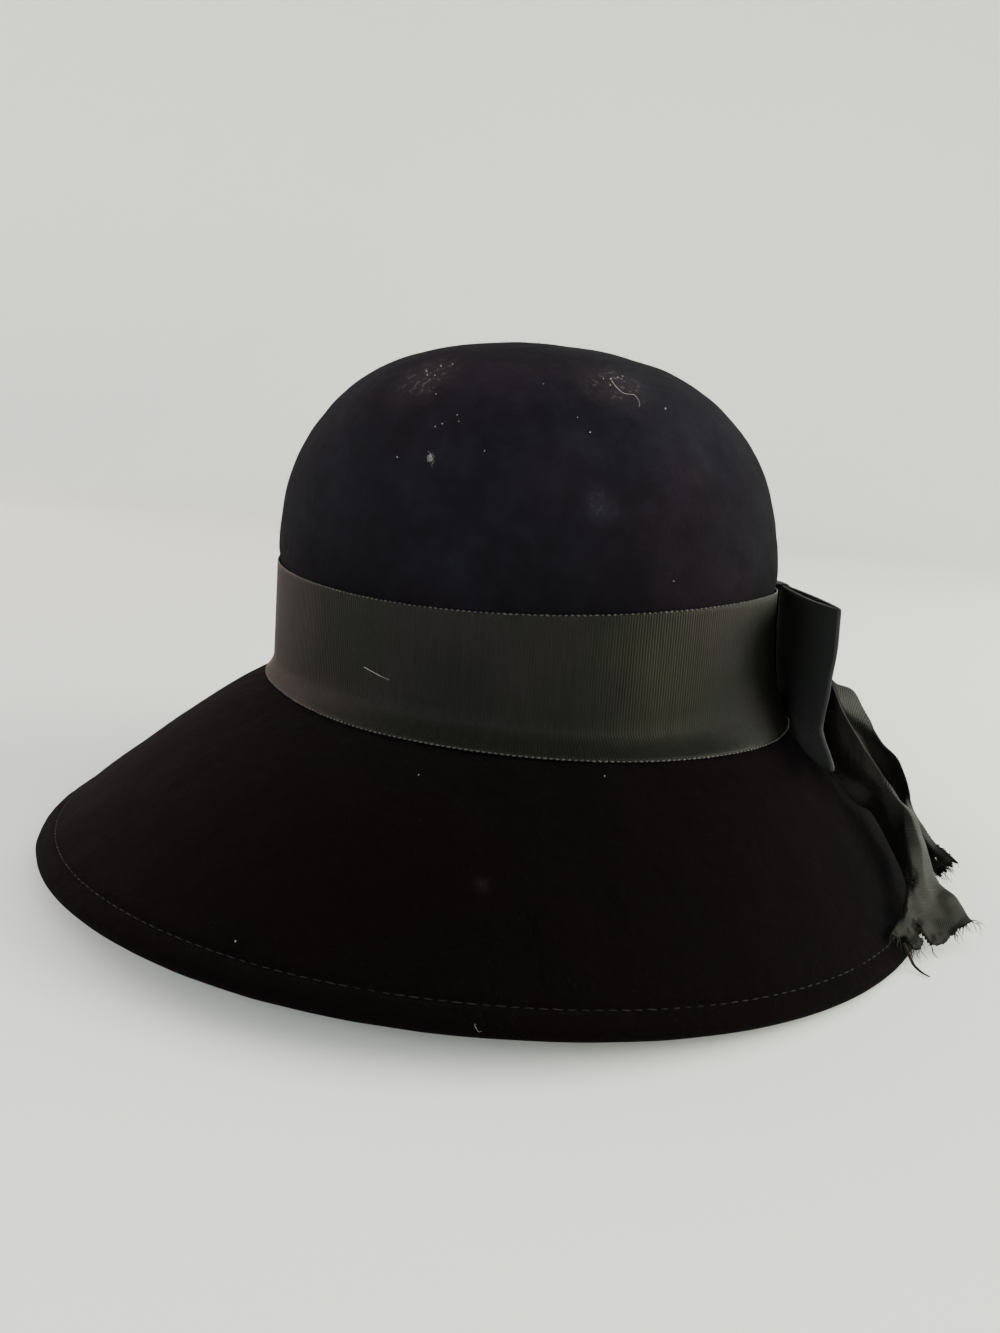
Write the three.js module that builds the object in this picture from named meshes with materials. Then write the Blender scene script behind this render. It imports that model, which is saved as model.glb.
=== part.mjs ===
// Wide-brim felt hat with a ribbon band, a flat tailored bow and two frayed tails.
// Millimetres, +Z up. The front of the hat faces -Y, the bow sits at the back (+Y),
// and +X is the wearer's left. The origin is the bottom centre of the bounding box.
import * as THREE from "three";
import { mergeVertices } from "three/addons/utils/BufferGeometryUtils.js";

// ---------- driving dimensions ----------
const FELT = 2.0;                // felt thickness
const HEM_THICKNESS = 4.0;       // brim edge, two layers of felt
const HEM_DEPTH = 8.5;           // width of the felt turned under the brim edge
const GAP = 0.3;                 // clearance between touching pieces
const RIBBON = 1.0;              // ribbon thickness

const CROWN_HALF_WIDTH = 82.5;   // outside of the felt at the brim break
const CROWN_HALF_LENGTH = 100.1;
const CROWN_TAPER = 0.8;         // narrower than that at the top of the band
const CROWN_EGG = 0.06;          // the back of the crown is this much fuller
const CROWN_RISE = 134.3;        // top of the crown above the brim break
const CROWN_POWER = 2.43;        // superellipse exponent of the dome's profile

const BAND_RISE = 46.3;          // top edge of the band above the brim break
const BAND_TILT = -1.7;          // front lower than back
const BAND_SADDLE = 2.8;         // front and back higher than the sides
const BAND_PRESS = 0.9;          // the band draws the felt in by this much
const PRESS_FADE = 3.5;          // height above the band over which that fades
const LIP_RISE = 9;              // height over which the band flares to its lower edge
const LIP_FLARE_FRONT = 3.8;     // outward flare of the band's lower edge at the front
const LIP_FLARE_BACK = 11.4;      // and round the sides and back
const LIP_FLARE_FROM = 42;       // degrees from the front where the flare starts to grow
const LIP_FLARE_FULL = 88;       // and where it is full
const SLACK_RISE = 44;           // beside the bow the flare starts this high up
const SLACK_ANGLE = 182;         // degrees from the front to the middle of that slack part
const SLACK_SPREAD = 20;
const LIP_INSET = 0.3;           // the band ends this far short of the brim break

const RIM_HALF_WIDTH = 180.5;
const RIM_HALF_LENGTH = 171.5;
const RIM_FORWARD = 3.5;         // the brim is longer at the front than at the back
const RIM_DROP = 50.2;           // mean fall of the brim below the brim break
const RIM_SADDLE = 6.5;          // front and back hang lower than the sides
const BRIM_BULGE = 3.2;          // upward swell halfway down the brim
const BRIM_SKEW = 0.5;           // moves that swell up toward the crown
const REST_FLATTENING = 1.3;     // the lowest felt is pressed flat by this much

const BOW_ANGLE = 209;           // degrees from the front round to the middle of the bow
const KNOT_WIDTH = 21;
const KNOT_DEPTH = 10.5;
const KNOT_LEAST_DEPTH = 4.2;    // where it passes over the lip
const KNOT_BOTTOM = 0.8;          // above the brim break
const KNOT_TOP = 50;
const KNOT_SEAT = 0.5;           // clearance that lets the flat knot sit on the curved band
const KNOT_SQUARENESS = 0.6;     // exponent of its rounded-rectangle section
const LIP_CLEARANCE = 1.5;       // low bow parts pass this much above the flared lip

const SEGMENTS = 56;             // around the hat
const CROWN_ROWS = 10;
const BAND_ROWS = [0.985, 1, 1.3, 1.6, 1.8, 1.87, 1.94, 2];
const BRIM_ROWS = [2.05, 2.25, 2.5, 2.75, 2.9];
const BRIM_SPAN = 90;            // mean width of the brim
const KNOT_TURNS = 20;
const LOOP_TURNS = 20;
const LOOP_LEVELS = 6;
const TEARING = 0.02;            // the torn end is this share of the tail deep
const TAIL_STEPS = 22;           // along a tail
const TAIL_COLUMNS = 8;          // across a tail
const NUMERIC_STEP = 0.004;      // for surface normals

// Soft dents and ridges of the blocked crown. angle is degrees from the front over
// the wearer's left, height is above the brim break, push is inward (+) or outward (-).
const DENTS = [
  { name: "front facet", angle: 36, height: 100, spreadAngle: 20, spreadHeight: 15, push: 1.4 },
  { name: "back-left ridge", angle: 147, height: 92, spreadAngle: 6, spreadHeight: 24, push: -0.9 },
  { name: "back-left hollow", angle: 155, height: 93, spreadAngle: 7, spreadHeight: 22, push: 1.3 },
  { name: "right side press", angle: 262, height: 100, spreadAngle: 26, spreadHeight: 20, push: 1.4 },
  { name: "fullness beside the bow", angle: 184, height: 37, spreadAngle: 17, spreadHeight: 27, push: -2.2 },
];

const BREAK_HEIGHT = RIM_DROP + RIM_SADDLE + HEM_THICKNESS / 2 - REST_FLATTENING;
const EDGE_V = 3 - HEM_THICKNESS / 2 / BRIM_SPAN;
const HEM_V = 3 - HEM_DEPTH / BRIM_SPAN;
const PARTING_V = 2.005;         // the brim solid starts here, 0.3 mm from the crown solid

// ---------- helpers ----------
const radians = (degrees) => (degrees * Math.PI) / 180;
const mix = (a, b, t) => a + (b - a) * t;
const clamp01 = (v) => Math.min(1, Math.max(0, v));
const smooth = (t) => t * t * (3 - 2 * t);

// ---------- the felt surface ----------
// angle 0 is the front, 90 degrees the wearer's left, 180 the back.
function crownOval(angle, inset = 0) {
  const fullness = 1 - CROWN_EGG * Math.cos(angle);
  const x = (CROWN_HALF_WIDTH - inset) * Math.sin(angle) * fullness;
  const y = -(CROWN_HALF_LENGTH - inset) * Math.cos(angle);
  return new THREE.Vector3(x, y, 0);
}

function bandTop(angle) {
  return BAND_RISE + BAND_TILT * Math.cos(angle) + BAND_SADDLE * Math.cos(2 * angle);
}

function lipFlare(angle) {
  const turn = (Math.acos(Math.cos(angle)) * 180) / Math.PI;
  const growth = smooth(clamp01((turn - LIP_FLARE_FROM) / (LIP_FLARE_FULL - LIP_FLARE_FROM)));
  return mix(LIP_FLARE_FRONT, LIP_FLARE_BACK, growth);
}

function lipRise(angle) {
  let turn = (angle * 180) / Math.PI - SLACK_ANGLE;
  turn = ((((turn + 180) % 360) + 360) % 360) - 180;
  return mix(LIP_RISE, SLACK_RISE, Math.exp(-((turn / SLACK_SPREAD) ** 2)));
}

function dentPush(angle, height) {
  let push = 0;
  for (const dent of DENTS) {
    let turn = (angle * 180) / Math.PI - dent.angle;
    turn = ((((turn + 180) % 360) + 360) % 360) - 180;
    const across = turn / dent.spreadAngle;
    const up = (height - dent.height) / dent.spreadHeight;
    push += dent.push * Math.exp(-across * across - up * up);
  }
  return push;
}

// Outer felt surface. v runs 0 apex, 1 band top, 2 brim break, 3 rim.
function feltPoint(angle, v) {
  const top = bandTop(angle);
  if (v <= 1) {
    const turn = (v * Math.PI) / 2;
    const reach = Math.pow(Math.sin(turn), 2 / CROWN_POWER);
    const rise = Math.pow(Math.cos(turn), 2 / CROWN_POWER);
    const height = top + (CROWN_RISE - top) * rise;
    const press = BAND_PRESS * Math.exp(-(((height - top) / PRESS_FADE) ** 2));
    const inset = CROWN_TAPER + press + dentPush(angle, height);
    const point = crownOval(angle, inset).multiplyScalar(reach);
    point.z = height;
    return point;
  }
  if (v <= 2) {
    const height = top * (2 - v);
    const flare = clamp01(1 - height / lipRise(angle));
    const out = lipFlare(angle) * flare * flare;
    const inset = BAND_PRESS + (CROWN_TAPER + dentPush(angle, height)) * (height / top);
    const point = crownOval(angle, inset - out);
    point.z = height;
    return point;
  }
  const t = v - 2;
  const start = crownOval(angle, BAND_PRESS - lipFlare(angle));
  const rim = new THREE.Vector3(
    RIM_HALF_WIDTH * Math.sin(angle),
    -RIM_HALF_LENGTH * Math.cos(angle) - RIM_FORWARD,
    -RIM_DROP - RIM_SADDLE * Math.cos(2 * angle),
  );
  const point = start.lerp(rim, t);
  point.z += BRIM_BULGE * 4 * t * (1 - t) * (1 + BRIM_SKEW * (1 - 2 * t));
  return point;
}

function feltNormal(angle, v) {
  if (v < NUMERIC_STEP) return new THREE.Vector3(0, 0, 1);
  const low = Math.max(v - NUMERIC_STEP, 0);
  const high = Math.min(v + NUMERIC_STEP, 3);
  const along = feltPoint(angle, high).sub(feltPoint(angle, low));
  const around = feltPoint(angle + NUMERIC_STEP, v).sub(feltPoint(angle - NUMERIC_STEP, v));
  return along.cross(around).normalize();
}

// ---------- closed solids from grids ----------
// Two equal grids of points, [station][row], become one closed wall. A closed grid
// runs right round; an open one is capped along its first and last stations too.
function wallSolid(outer, inner, closed, name, material) {
  const stations = outer.length;
  const rows = outer[0].length;
  const positions = [];
  for (const grid of [outer, inner]) {
    for (const station of grid) {
      for (const point of station) positions.push(point.x, point.y, point.z);
    }
  }
  const outerAt = (i, j) => (i % stations) * rows + j;
  const innerAt = (i, j) => stations * rows + outerAt(i, j);
  const indices = [];
  const quad = (a, b, c, d) => indices.push(a, b, c, a, c, d);
  const spans = closed ? stations : stations - 1;
  for (let i = 0; i < spans; i += 1) {
    for (let j = 0; j < rows - 1; j += 1) {
      quad(outerAt(i, j), outerAt(i, j + 1), outerAt(i + 1, j + 1), outerAt(i + 1, j));
      quad(innerAt(i, j), innerAt(i + 1, j), innerAt(i + 1, j + 1), innerAt(i, j + 1));
    }
    quad(outerAt(i, 0), outerAt(i + 1, 0), innerAt(i + 1, 0), innerAt(i, 0));
    const last = rows - 1;
    quad(outerAt(i, last), innerAt(i, last), innerAt(i + 1, last), outerAt(i + 1, last));
  }
  if (!closed) {
    const end = stations - 1;
    for (let j = 0; j < rows - 1; j += 1) {
      quad(outerAt(0, j), innerAt(0, j), innerAt(0, j + 1), outerAt(0, j + 1));
      quad(outerAt(end, j), outerAt(end, j + 1), innerAt(end, j + 1), innerAt(end, j));
    }
  }
  return solidMesh(positions, indices, name, material);
}

// Merges shared vertices, drops collapsed triangles and turns the faces outward.
function solidMesh(positions, indices, name, material) {
  let geometry = new THREE.BufferGeometry();
  geometry.setAttribute("position", new THREE.Float32BufferAttribute(positions, 3));
  geometry.setIndex(indices);
  geometry = mergeVertices(geometry, 1e-4);
  const place = geometry.getAttribute("position");
  const corner = (k) => new THREE.Vector3().fromBufferAttribute(place, k);
  const kept = [];
  let volume = 0;
  const all = geometry.getIndex().array;
  for (let k = 0; k < all.length; k += 3) {
    const [a, b, c] = [all[k], all[k + 1], all[k + 2]];
    if (a === b || b === c || c === a) continue;
    kept.push([a, b, c]);
    volume += corner(a).dot(corner(b).cross(corner(c)));
  }
  geometry.setIndex(kept.flatMap(([a, b, c]) => (volume > 0 ? [a, b, c] : [a, c, b])));
  geometry.computeVertexNormals();
  const mesh = new THREE.Mesh(geometry, material);
  mesh.name = name;
  return mesh;
}

// ---------- felt ----------
// The hat is one piece of felt. It is drawn as two solids, crown and brim, which part at
// the brim break, so that collision can follow the hollow.
// Stations of the cross-section from the apex down the outside, round the folded
// brim edge and back up the inside. down is pushed inward along the surface normal,
// out is pushed outward along the brim.
function feltSection() {
  const half = HEM_THICKNESS / 2;
  const outside = [];
  for (let i = 0; i < CROWN_ROWS; i += 1) outside.push({ v: i / CROWN_ROWS, down: 0, out: 0 });
  for (const v of BAND_ROWS) outside.push({ v, down: 0, out: 0 });
  for (const v of BRIM_ROWS) outside.push({ v, down: 0, out: 0 });
  const edge = [];
  for (const turn of [0, 45, 90, 135, 180]) {
    const down = half * (1 - Math.cos(radians(turn)));
    edge.push({ v: EDGE_V, down, out: half * Math.sin(radians(turn)) });
  }
  const inside = [{ v: HEM_V, down: HEM_THICKNESS, out: 0 }];
  for (const row of [...outside].reverse()) {
    if (row.v < HEM_V - 0.01) inside.push({ v: row.v, down: FELT, out: 0 });
  }
  return { outside, edge, inside };
}

function feltPlace(angle, { v, down, out }) {
  const point = feltPoint(angle, v);
  const normal = feltNormal(angle, v);
  point.addScaledVector(normal, -down);
  if (out > 0) {
    const around = feltPoint(angle + NUMERIC_STEP, v).sub(feltPoint(angle - NUMERIC_STEP, v));
    point.addScaledVector(around.cross(normal).normalize(), out);
  }
  point.z = Math.max(point.z, -BREAK_HEIGHT);
  return point;
}

// One solid of revolution-like section rows. A ring's last row joins its first; a cap's
// rows begin and end at the apex.
function feltSolid(rows, ring, name, material) {
  const positions = [];
  for (let i = 0; i < SEGMENTS; i += 1) {
    for (const row of rows) positions.push(...feltPlace((2 * Math.PI * i) / SEGMENTS, row));
  }
  const at = (i, j) => (i % SEGMENTS) * rows.length + (j % rows.length);
  const indices = [];
  for (let i = 0; i < SEGMENTS; i += 1) {
    for (let j = 0; j < (ring ? rows.length : rows.length - 1); j += 1) {
      indices.push(at(i, j), at(i, j + 1), at(i + 1, j + 1));
      indices.push(at(i, j), at(i + 1, j + 1), at(i + 1, j));
    }
  }
  return solidMesh(positions, indices, name, material);
}

function feltCrown(material) {
  const { outside, inside } = feltSection();
  const rows = [...outside, ...inside].filter((row) => row.v <= 2);
  return feltSolid(rows, false, "felt_crown", material);
}

function feltBrim(material) {
  const { outside, edge, inside } = feltSection();
  const rows = [...outside, ...edge, ...inside].filter((row) => row.v > 2);
  rows.unshift({ v: PARTING_V, down: 0, out: 0 });
  rows.push({ v: PARTING_V, down: FELT, out: 0 });
  return feltSolid(rows, true, "felt_brim", material);
}

// ---------- band ----------
function ribbonBand(material) {
  const stop = 2 - LIP_INSET / BAND_RISE;
  const rows = [...BAND_ROWS.filter((v) => v >= 1 && v < stop - 0.01), stop];
  const layer = (lift) => {
    const grid = [];
    for (let i = 0; i < SEGMENTS; i += 1) {
      const angle = (2 * Math.PI * i) / SEGMENTS;
      grid.push(rows.map((v) => feltPlace(angle, { v, down: -lift, out: 0 })));
    }
    return grid;
  };
  return wallSolid(layer(GAP + RIBBON), layer(GAP), true, "band", material);
}

// ---------- bow ----------
// Local frame on the band at the knot: tangent points to the wearer's left.
const BOW_SEAT_V = 1.4;
const bowSeat = feltPoint(radians(BOW_ANGLE), BOW_SEAT_V);
const bowOut = feltNormal(radians(BOW_ANGLE), BOW_SEAT_V).setZ(0).normalize();
const bowTangent = new THREE.Vector3(bowOut.y, -bowOut.x, 0);

// How far the flared lip of the band pushes the bow off at a height.
function lipAtBow(along, height) {
  const rise = lipRise(radians(BOW_ANGLE) - along / CROWN_HALF_LENGTH);
  return LIP_FLARE_BACK * clamp01(1 - (height - LIP_CLEARANCE) / rise) ** 2;
}

// along the band, out from its face and at a height; low points clear the flared lip.
function bowPoint(along, out, height) {
  const lift = GAP + RIBBON + out + lipAtBow(along, height);
  const point = bowSeat.clone().addScaledVector(bowTangent, along).addScaledVector(bowOut, lift);
  point.z = height;
  return point;
}

function knot(material) {
  const rows = [
    { height: KNOT_BOTTOM, size: 0.86 },
    { height: 4.5, size: 0.96 },
    { height: 9, size: 1 },
    { height: 14, size: 1 },
    { height: KNOT_TOP / 2, size: 0.94 },
    { height: KNOT_TOP - 2, size: 1 },
    { height: KNOT_TOP, size: 0.86 },
  ];
  const ring = (row, scale) => {
    const points = [];
    const depth = Math.max(KNOT_LEAST_DEPTH, KNOT_DEPTH - lipAtBow(0, row.height));
    for (let i = 0; i < KNOT_TURNS; i += 1) {
      const turn = (2 * Math.PI * i) / KNOT_TURNS;
      const squash = (c) => Math.sign(c) * Math.pow(Math.abs(c), KNOT_SQUARENESS);
      const along = (KNOT_WIDTH / 2) * row.size * squash(Math.cos(turn)) * scale;
      const swing = row.size * squash(Math.sin(turn)) * scale;
      const out = KNOT_SEAT + (depth / 2) * (1 + swing);
      points.push(bowPoint(along, out, row.height));
    }
    return points;
  };
  const rings = rows.map((row) => ring(row, 1));
  const positions = [];
  for (const points of [ring(rows[0], 0), ...rings, ring(rows[rows.length - 1], 0)]) {
    for (const point of points) positions.push(...point);
  }
  const indices = [];
  for (let j = 0; j <= rows.length; j += 1) {
    for (let i = 0; i < KNOT_TURNS; i += 1) {
      const a = j * KNOT_TURNS + i;
      const b = j * KNOT_TURNS + ((i + 1) % KNOT_TURNS);
      indices.push(a, b, b + KNOT_TURNS, a, b + KNOT_TURNS, a + KNOT_TURNS);
    }
  }
  return solidMesh(positions, indices, "knot", material);
}

// A loop is a flattened tube of ribbon on edge. reach is its length at that height,
// swell is how far the side facing the crown bellies out.
const NEAR_LOOP = {
  base: 8,                       // how far off the band it leaves the knot
  heading: 24,                   // degrees from +X toward +Y
  bottomRoot: 3,
  bottomFold: -4,
  sag: 1.6,                      // its lower edge dips this much towards the brim
  topRoot: 49.5,
  topFold: 50,
  leanRoot: 5.2,                 // the bottom stands this much further off the crown
  leanFold: 1,
  levels: [
    { level: 0, reach: 71, swell: 4.5, half: 2.4 },
    { level: 0.2, reach: 56, swell: 2, half: 2.4 },
    { level: 0.5, reach: 59, swell: 1, half: 2.2 },
    { level: 0.75, reach: 61, swell: 1, half: 2 },
    { level: 1, reach: 59.6, swell: 1.2, half: 2 },
  ],
};
const FAR_LOOP = {
  base: 6.5,
  heading: 220,
  bottomRoot: 8,
  bottomFold: 1,
  sag: 0,
  topRoot: 48,
  topFold: 47,
  leanRoot: 5,
  leanFold: 3,
  levels: [
    { level: 0, reach: 60, swell: 1, half: 2.8 },
    { level: 0.3, reach: 55, swell: 1, half: 2.8 },
    { level: 1, reach: 58, swell: 1, half: 2.8 },
  ],
};

function ease(rows, key, field, value) {
  const last = rows.length - 1;
  if (value <= rows[0][key]) return rows[0][field];
  for (let i = 0; i < last; i += 1) {
    if (value <= rows[i + 1][key]) {
      const t = (value - rows[i][key]) / (rows[i + 1][key] - rows[i][key]);
      return mix(rows[i][field], rows[i + 1][field], smooth(t));
    }
  }
  return rows[last][field];
}

function bowLoop(loop, side, name, material) {
  const root = bowPoint(side * (KNOT_WIDTH / 2 + GAP), loop.base, KNOT_TOP);
  const heading = radians(loop.heading);
  const ahead = new THREE.Vector3(Math.cos(heading), Math.sin(heading), 0);
  const toCrown = new THREE.Vector3(ahead.y, -ahead.x, 0).multiplyScalar(side);
  const layer = (lift) => {
    const grid = [];
    for (let i = 0; i < LOOP_TURNS; i += 1) {
      const turn = (2 * Math.PI * i) / LOOP_TURNS;
      const along = (1 - Math.cos(turn)) / 2;
      const column = [];
      for (let j = 0; j <= LOOP_LEVELS; j += 1) {
        const level = j / LOOP_LEVELS;
        const reach = ease(loop.levels, "level", "reach", level);
        const swell = ease(loop.levels, "level", "swell", level) * Math.max(0, Math.sin(turn));
        const belly = swell * Math.sin(Math.PI * along * along);
        const across = ease(loop.levels, "level", "half", level) * Math.sin(turn) + belly;
        const dip = loop.sag * Math.sin(Math.PI * along ** 4);
        const bottom = mix(loop.bottomRoot, loop.bottomFold, along * along) - dip;
        const top = mix(loop.topRoot, loop.topFold, along);
        const point = root.clone().addScaledVector(ahead, GAP + lift + reach * along);
        point.addScaledVector(toCrown, across);
        const lean = mix(loop.leanRoot, loop.leanFold, along * along);
        point.addScaledVector(bowOut, lean * (1 - level) ** 2);
        point.z = mix(bottom, top, level);
        column.push(point);
      }
      grid.push(column);
    }
    return grid;
  };
  const middle = layer(RIBBON / 2);
  const shift = (sign) => middle.map((column, i) => column.map((point, j) => {
    const before = middle[(i + LOOP_TURNS - 1) % LOOP_TURNS][j];
    const after = middle[(i + 1) % LOOP_TURNS][j];
    const run = after.clone().sub(before);
    const normal = new THREE.Vector3(run.y, -run.x, 0).normalize();
    return point.clone().addScaledVector(normal, (sign * side * RIBBON) / 2);
  }));
  return wallSolid(shift(1), shift(-1), true, name, material);
}

// ---------- tails ----------
// A row for each station, from the knot to the torn end. Each has the ribbon's upper
// edge, its lengthwise ridge, its belly, its lower fold and the edge turned under that,
// as [x, y, z] measured from the middle of the crown at the brim break. The tail's root
// lies on the knot's outer face and comes from TAIL_ROOTS.
const TAIL_ROOTS = {
  near: { along: 5, off: 0, upper: 33, ridge: 26, belly: 20, fold: 14, under: 9 },
  far: { along: -6.5, off: 2.6, upper: 36, ridge: 30, belly: 23, fold: 17, under: 11 },
};
const NEAR_TAIL = [
  { upper: [-31, 109.5, 31], ridge: [-31, 110, 23], belly: [-31, 111.5, 15],
    fold: [-31, 113, 7], under: [-31, 113.5, 0.5] },
  { upper: [-19, 115.5, 29], ridge: [-18.5, 117, 20], belly: [-17, 119, 9],
    fold: [-15.5, 121, 0], under: [-16, 121, -3.5] },
  { upper: [-4, 121, 25], ridge: [-2, 123, 16], belly: [-1, 124.5, 4.5],
    fold: [-3, 126, -6], under: [-6.5, 125, -8] },
  { upper: [4, 125.5, 20], ridge: [3.5, 127.5, 11], belly: [3, 130, 0],
    fold: [-1, 131.5, -11.5], under: [1, 127.5, -10.5] },
  { upper: [6, 130.5, 12], ridge: [5.5, 132.5, 5], belly: [5, 135, -3.5],
    fold: [1, 135, -13], under: [3, 132, -14.5] },
  { upper: [6.5, 138, 2], ridge: [6, 139, -3], belly: [5.5, 140, -8],
    fold: [2.5, 139.5, -14], under: [4, 134.5, -17] },
  { upper: [4, 144.5, -6.5], ridge: [4, 145, -9.5], belly: [4, 145, -12],
    fold: [1.5, 143.5, -16.5], under: [1.5, 139.5, -22] },
  { upper: [3.5, 153, -17], ridge: [5.5, 152, -16], belly: [5.5, 150, -16.5],
    fold: [4.5, 147.5, -18.5], under: [-4, 144.5, -26] },
  { upper: [2.5, 159, -22.5], ridge: [7, 157, -20.5], belly: [7, 155, -20],
    fold: [5, 151, -25.5], under: [-0.5, 150.5, -32.5] },
  { upper: [3, 162.5, -29.5], ridge: [7.5, 160, -26.5], belly: [8.5, 156.5, -26.5],
    fold: [5, 155, -31.5], under: [2.5, 155, -39] },
  { upper: [9, 165.5, -34], ridge: [13, 162.5, -31.5], belly: [14, 158, -31],
    fold: [12.5, 158, -36], under: [11.5, 158, -41.5] },
  { upper: [15.5, 168.5, -39.5], ridge: [21.5, 164, -37], belly: [24, 160.5, -37],
    fold: [23, 159.5, -39], under: [22.5, 159.5, -42.5] },
  { upper: [20, 175.5, -43], ridge: [29, 168, -44.5], belly: [35.5, 163, -44.5],
    fold: [37.5, 159.5, -42], under: [38, 158.5, -45] },
  { upper: [24.5, 181, -48], ridge: [35.5, 173, -54], belly: [44.5, 166, -54.5],
    fold: [50, 159, -51], under: [53, 155, -47] },
];
const FAR_TAIL = [
  { upper: [-45, 106, 31], ridge: [-45, 106.5, 24], belly: [-44, 107, 17],
    fold: [-44, 107.5, 10], under: [-43, 108, 4] },
  { upper: [-36, 112, 27], ridge: [-34, 113.5, 20], belly: [-33, 114.5, 13],
    fold: [-31, 115.5, 6], under: [-29, 116.5, -1] },
  { upper: [-25, 119, 23], ridge: [-21, 121, 18], belly: [-21, 122, 11],
    fold: [-19, 123, 5], under: [-17, 124, -2] },
  { upper: [-16, 125, 18], ridge: [-7, 127, 14.5], belly: [-8, 128.5, 8],
    fold: [-6, 130, 2], under: [-2, 131.5, -6] },
  { upper: [-18.5, 131.5, 15.5], ridge: [-9.5, 131, 9], belly: [-11.5, 133, 2.5],
    fold: [-8, 135, -2.5], under: [-3, 137.5, -10.5] },
  { upper: [-16.5, 139, 5.5], ridge: [-14, 138, 4], belly: [-16, 137.5, -1.5],
    fold: [-11.5, 140, -7.5], under: [-5.5, 142.5, -17] },
  { upper: [-15, 144.5, -2], ridge: [-17.5, 143, -3], belly: [-18, 142, -8],
    fold: [-13.5, 144.5, -14.5], under: [-7.5, 147, -23] },
  { upper: [-15, 152, -9], ridge: [-18.5, 150, -10], belly: [-20.5, 148.5, -16],
    fold: [-16, 151, -20.5], under: [-10, 154, -29.5] },
  { upper: [-16, 156.5, -19.5], ridge: [-18, 155, -20], belly: [-18.5, 154, -24],
    fold: [-15, 156, -28.5], under: [-10, 159, -36.5] },
  { upper: [-17, 160, -28], ridge: [-12, 157, -25.5], belly: [-13, 158.5, -31.5],
    fold: [-10, 160.5, -36], under: [-7, 161.5, -39] },
  { upper: [-12.5, 168, -35.5], ridge: [-9.5, 166.5, -36.5], belly: [-9.5, 166.5, -39.5],
    fold: [-8, 167, -41.5], under: [-6.5, 167, -43.5] },
  { upper: [-7.5, 177, -40.5], ridge: [-6, 176, -42], belly: [-5.5, 174.5, -43.5],
    fold: [-4.5, 173, -44.5], under: [-4, 171, -45.5] },
];

function tail(root, rows, tearing, name, material) {
  const columns = ["upper", "ridge", "belly", "fold", "under"];
  const rootOut = KNOT_SEAT + KNOT_DEPTH + 2 * GAP + RIBBON / 2 + root.off;
  const curves = columns.map((column) => {
    const points = rows.map((row) => new THREE.Vector3(...row[column]));
    points.unshift(bowPoint(root.along, rootOut, root[column]));
    return new THREE.CatmullRomCurve3(points, false, "centripetal");
  });
  const middle = [];
  for (let i = 0; i <= TAIL_STEPS; i += 1) {
    const line = [];
    for (let j = 0; j <= TAIL_COLUMNS; j += 1) {
      const torn = 1 - tearing * (j % 2);
      const along = (i / TAIL_STEPS) * mix(1, torn, i / TAIL_STEPS);
      const section = curves.map((curve) => curve.getPoint(along));
      const profile = new THREE.CatmullRomCurve3(section, false, "centripetal");
      line.push(profile.getPoint(j / TAIL_COLUMNS));
    }
    middle.push(line);
  }
  const shift = (sign) => middle.map((line, i) => line.map((point, j) => {
    const run = middle[Math.min(i + 1, TAIL_STEPS)][j].clone();
    run.sub(middle[Math.max(i - 1, 0)][j]);
    const cross = line[Math.min(j + 1, TAIL_COLUMNS)].clone().sub(line[Math.max(j - 1, 0)]);
    const normal = run.cross(cross).normalize();
    return point.clone().addScaledVector(normal, (sign * RIBBON) / 2);
  }));
  return wallSolid(shift(1), shift(-1), false, name, material);
}

// ---------- assembly ----------
const felt = new THREE.MeshStandardMaterial({ color: 0x0b090a, roughness: 0.95, metalness: 0 });
const grosgrain = new THREE.MeshStandardMaterial({ color: 0x24251f, roughness: 0.62, metalness: 0 });

const hat = new THREE.Group();
hat.add(feltCrown(felt));
hat.add(feltBrim(felt));
hat.add(ribbonBand(grosgrain));
hat.add(knot(grosgrain));
hat.add(bowLoop(NEAR_LOOP, 1, "near_loop", grosgrain));
hat.add(bowLoop(FAR_LOOP, -1, "far_loop", grosgrain));
hat.add(tail(TAIL_ROOTS.near, NEAR_TAIL, TEARING, "near_tail", grosgrain));
hat.add(tail(TAIL_ROOTS.far, FAR_TAIL, TEARING, "far_tail", grosgrain));
const box = new THREE.Box3().setFromObject(hat);
const middle = box.getCenter(new THREE.Vector3());
hat.position.set(-middle.x, -middle.y, BREAK_HEIGHT);
hat.updateMatrixWorld(true);

export default hat;
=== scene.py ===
"""A wide-brim felt hat with a ribbon band, a flat bow and frayed tails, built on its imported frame.

Metres, +Z up. The front of the hat faces -Y, the bow is at the back and +X is the wearer's left.
Angles round the hat run from the front over the wearer's left to the back. The measure v runs down
the felt: 0 at the apex, 1 at the top of the band, 2 at the brim break, 3 at the rim.
"""

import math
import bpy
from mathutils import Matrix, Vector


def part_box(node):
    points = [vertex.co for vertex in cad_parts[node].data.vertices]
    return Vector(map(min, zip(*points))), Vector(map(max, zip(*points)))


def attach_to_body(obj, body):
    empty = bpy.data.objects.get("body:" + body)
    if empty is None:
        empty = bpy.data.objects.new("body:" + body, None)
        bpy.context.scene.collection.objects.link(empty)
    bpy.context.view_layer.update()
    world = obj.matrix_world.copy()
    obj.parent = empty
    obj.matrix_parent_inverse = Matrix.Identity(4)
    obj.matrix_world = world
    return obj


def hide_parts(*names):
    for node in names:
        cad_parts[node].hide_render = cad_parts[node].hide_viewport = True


bl_info = {
    "name": "Wide-Brim Felt Hat",
    "version": (1, 0, 0),
    "blender": (4, 5, 0),
    "location": "3D View > Sidebar > Hat",
    "description": "Builds the felt, ribbon band, bow, torn tails and lint of a wide-brim hat",
    "category": "Add Mesh",
}

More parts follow.
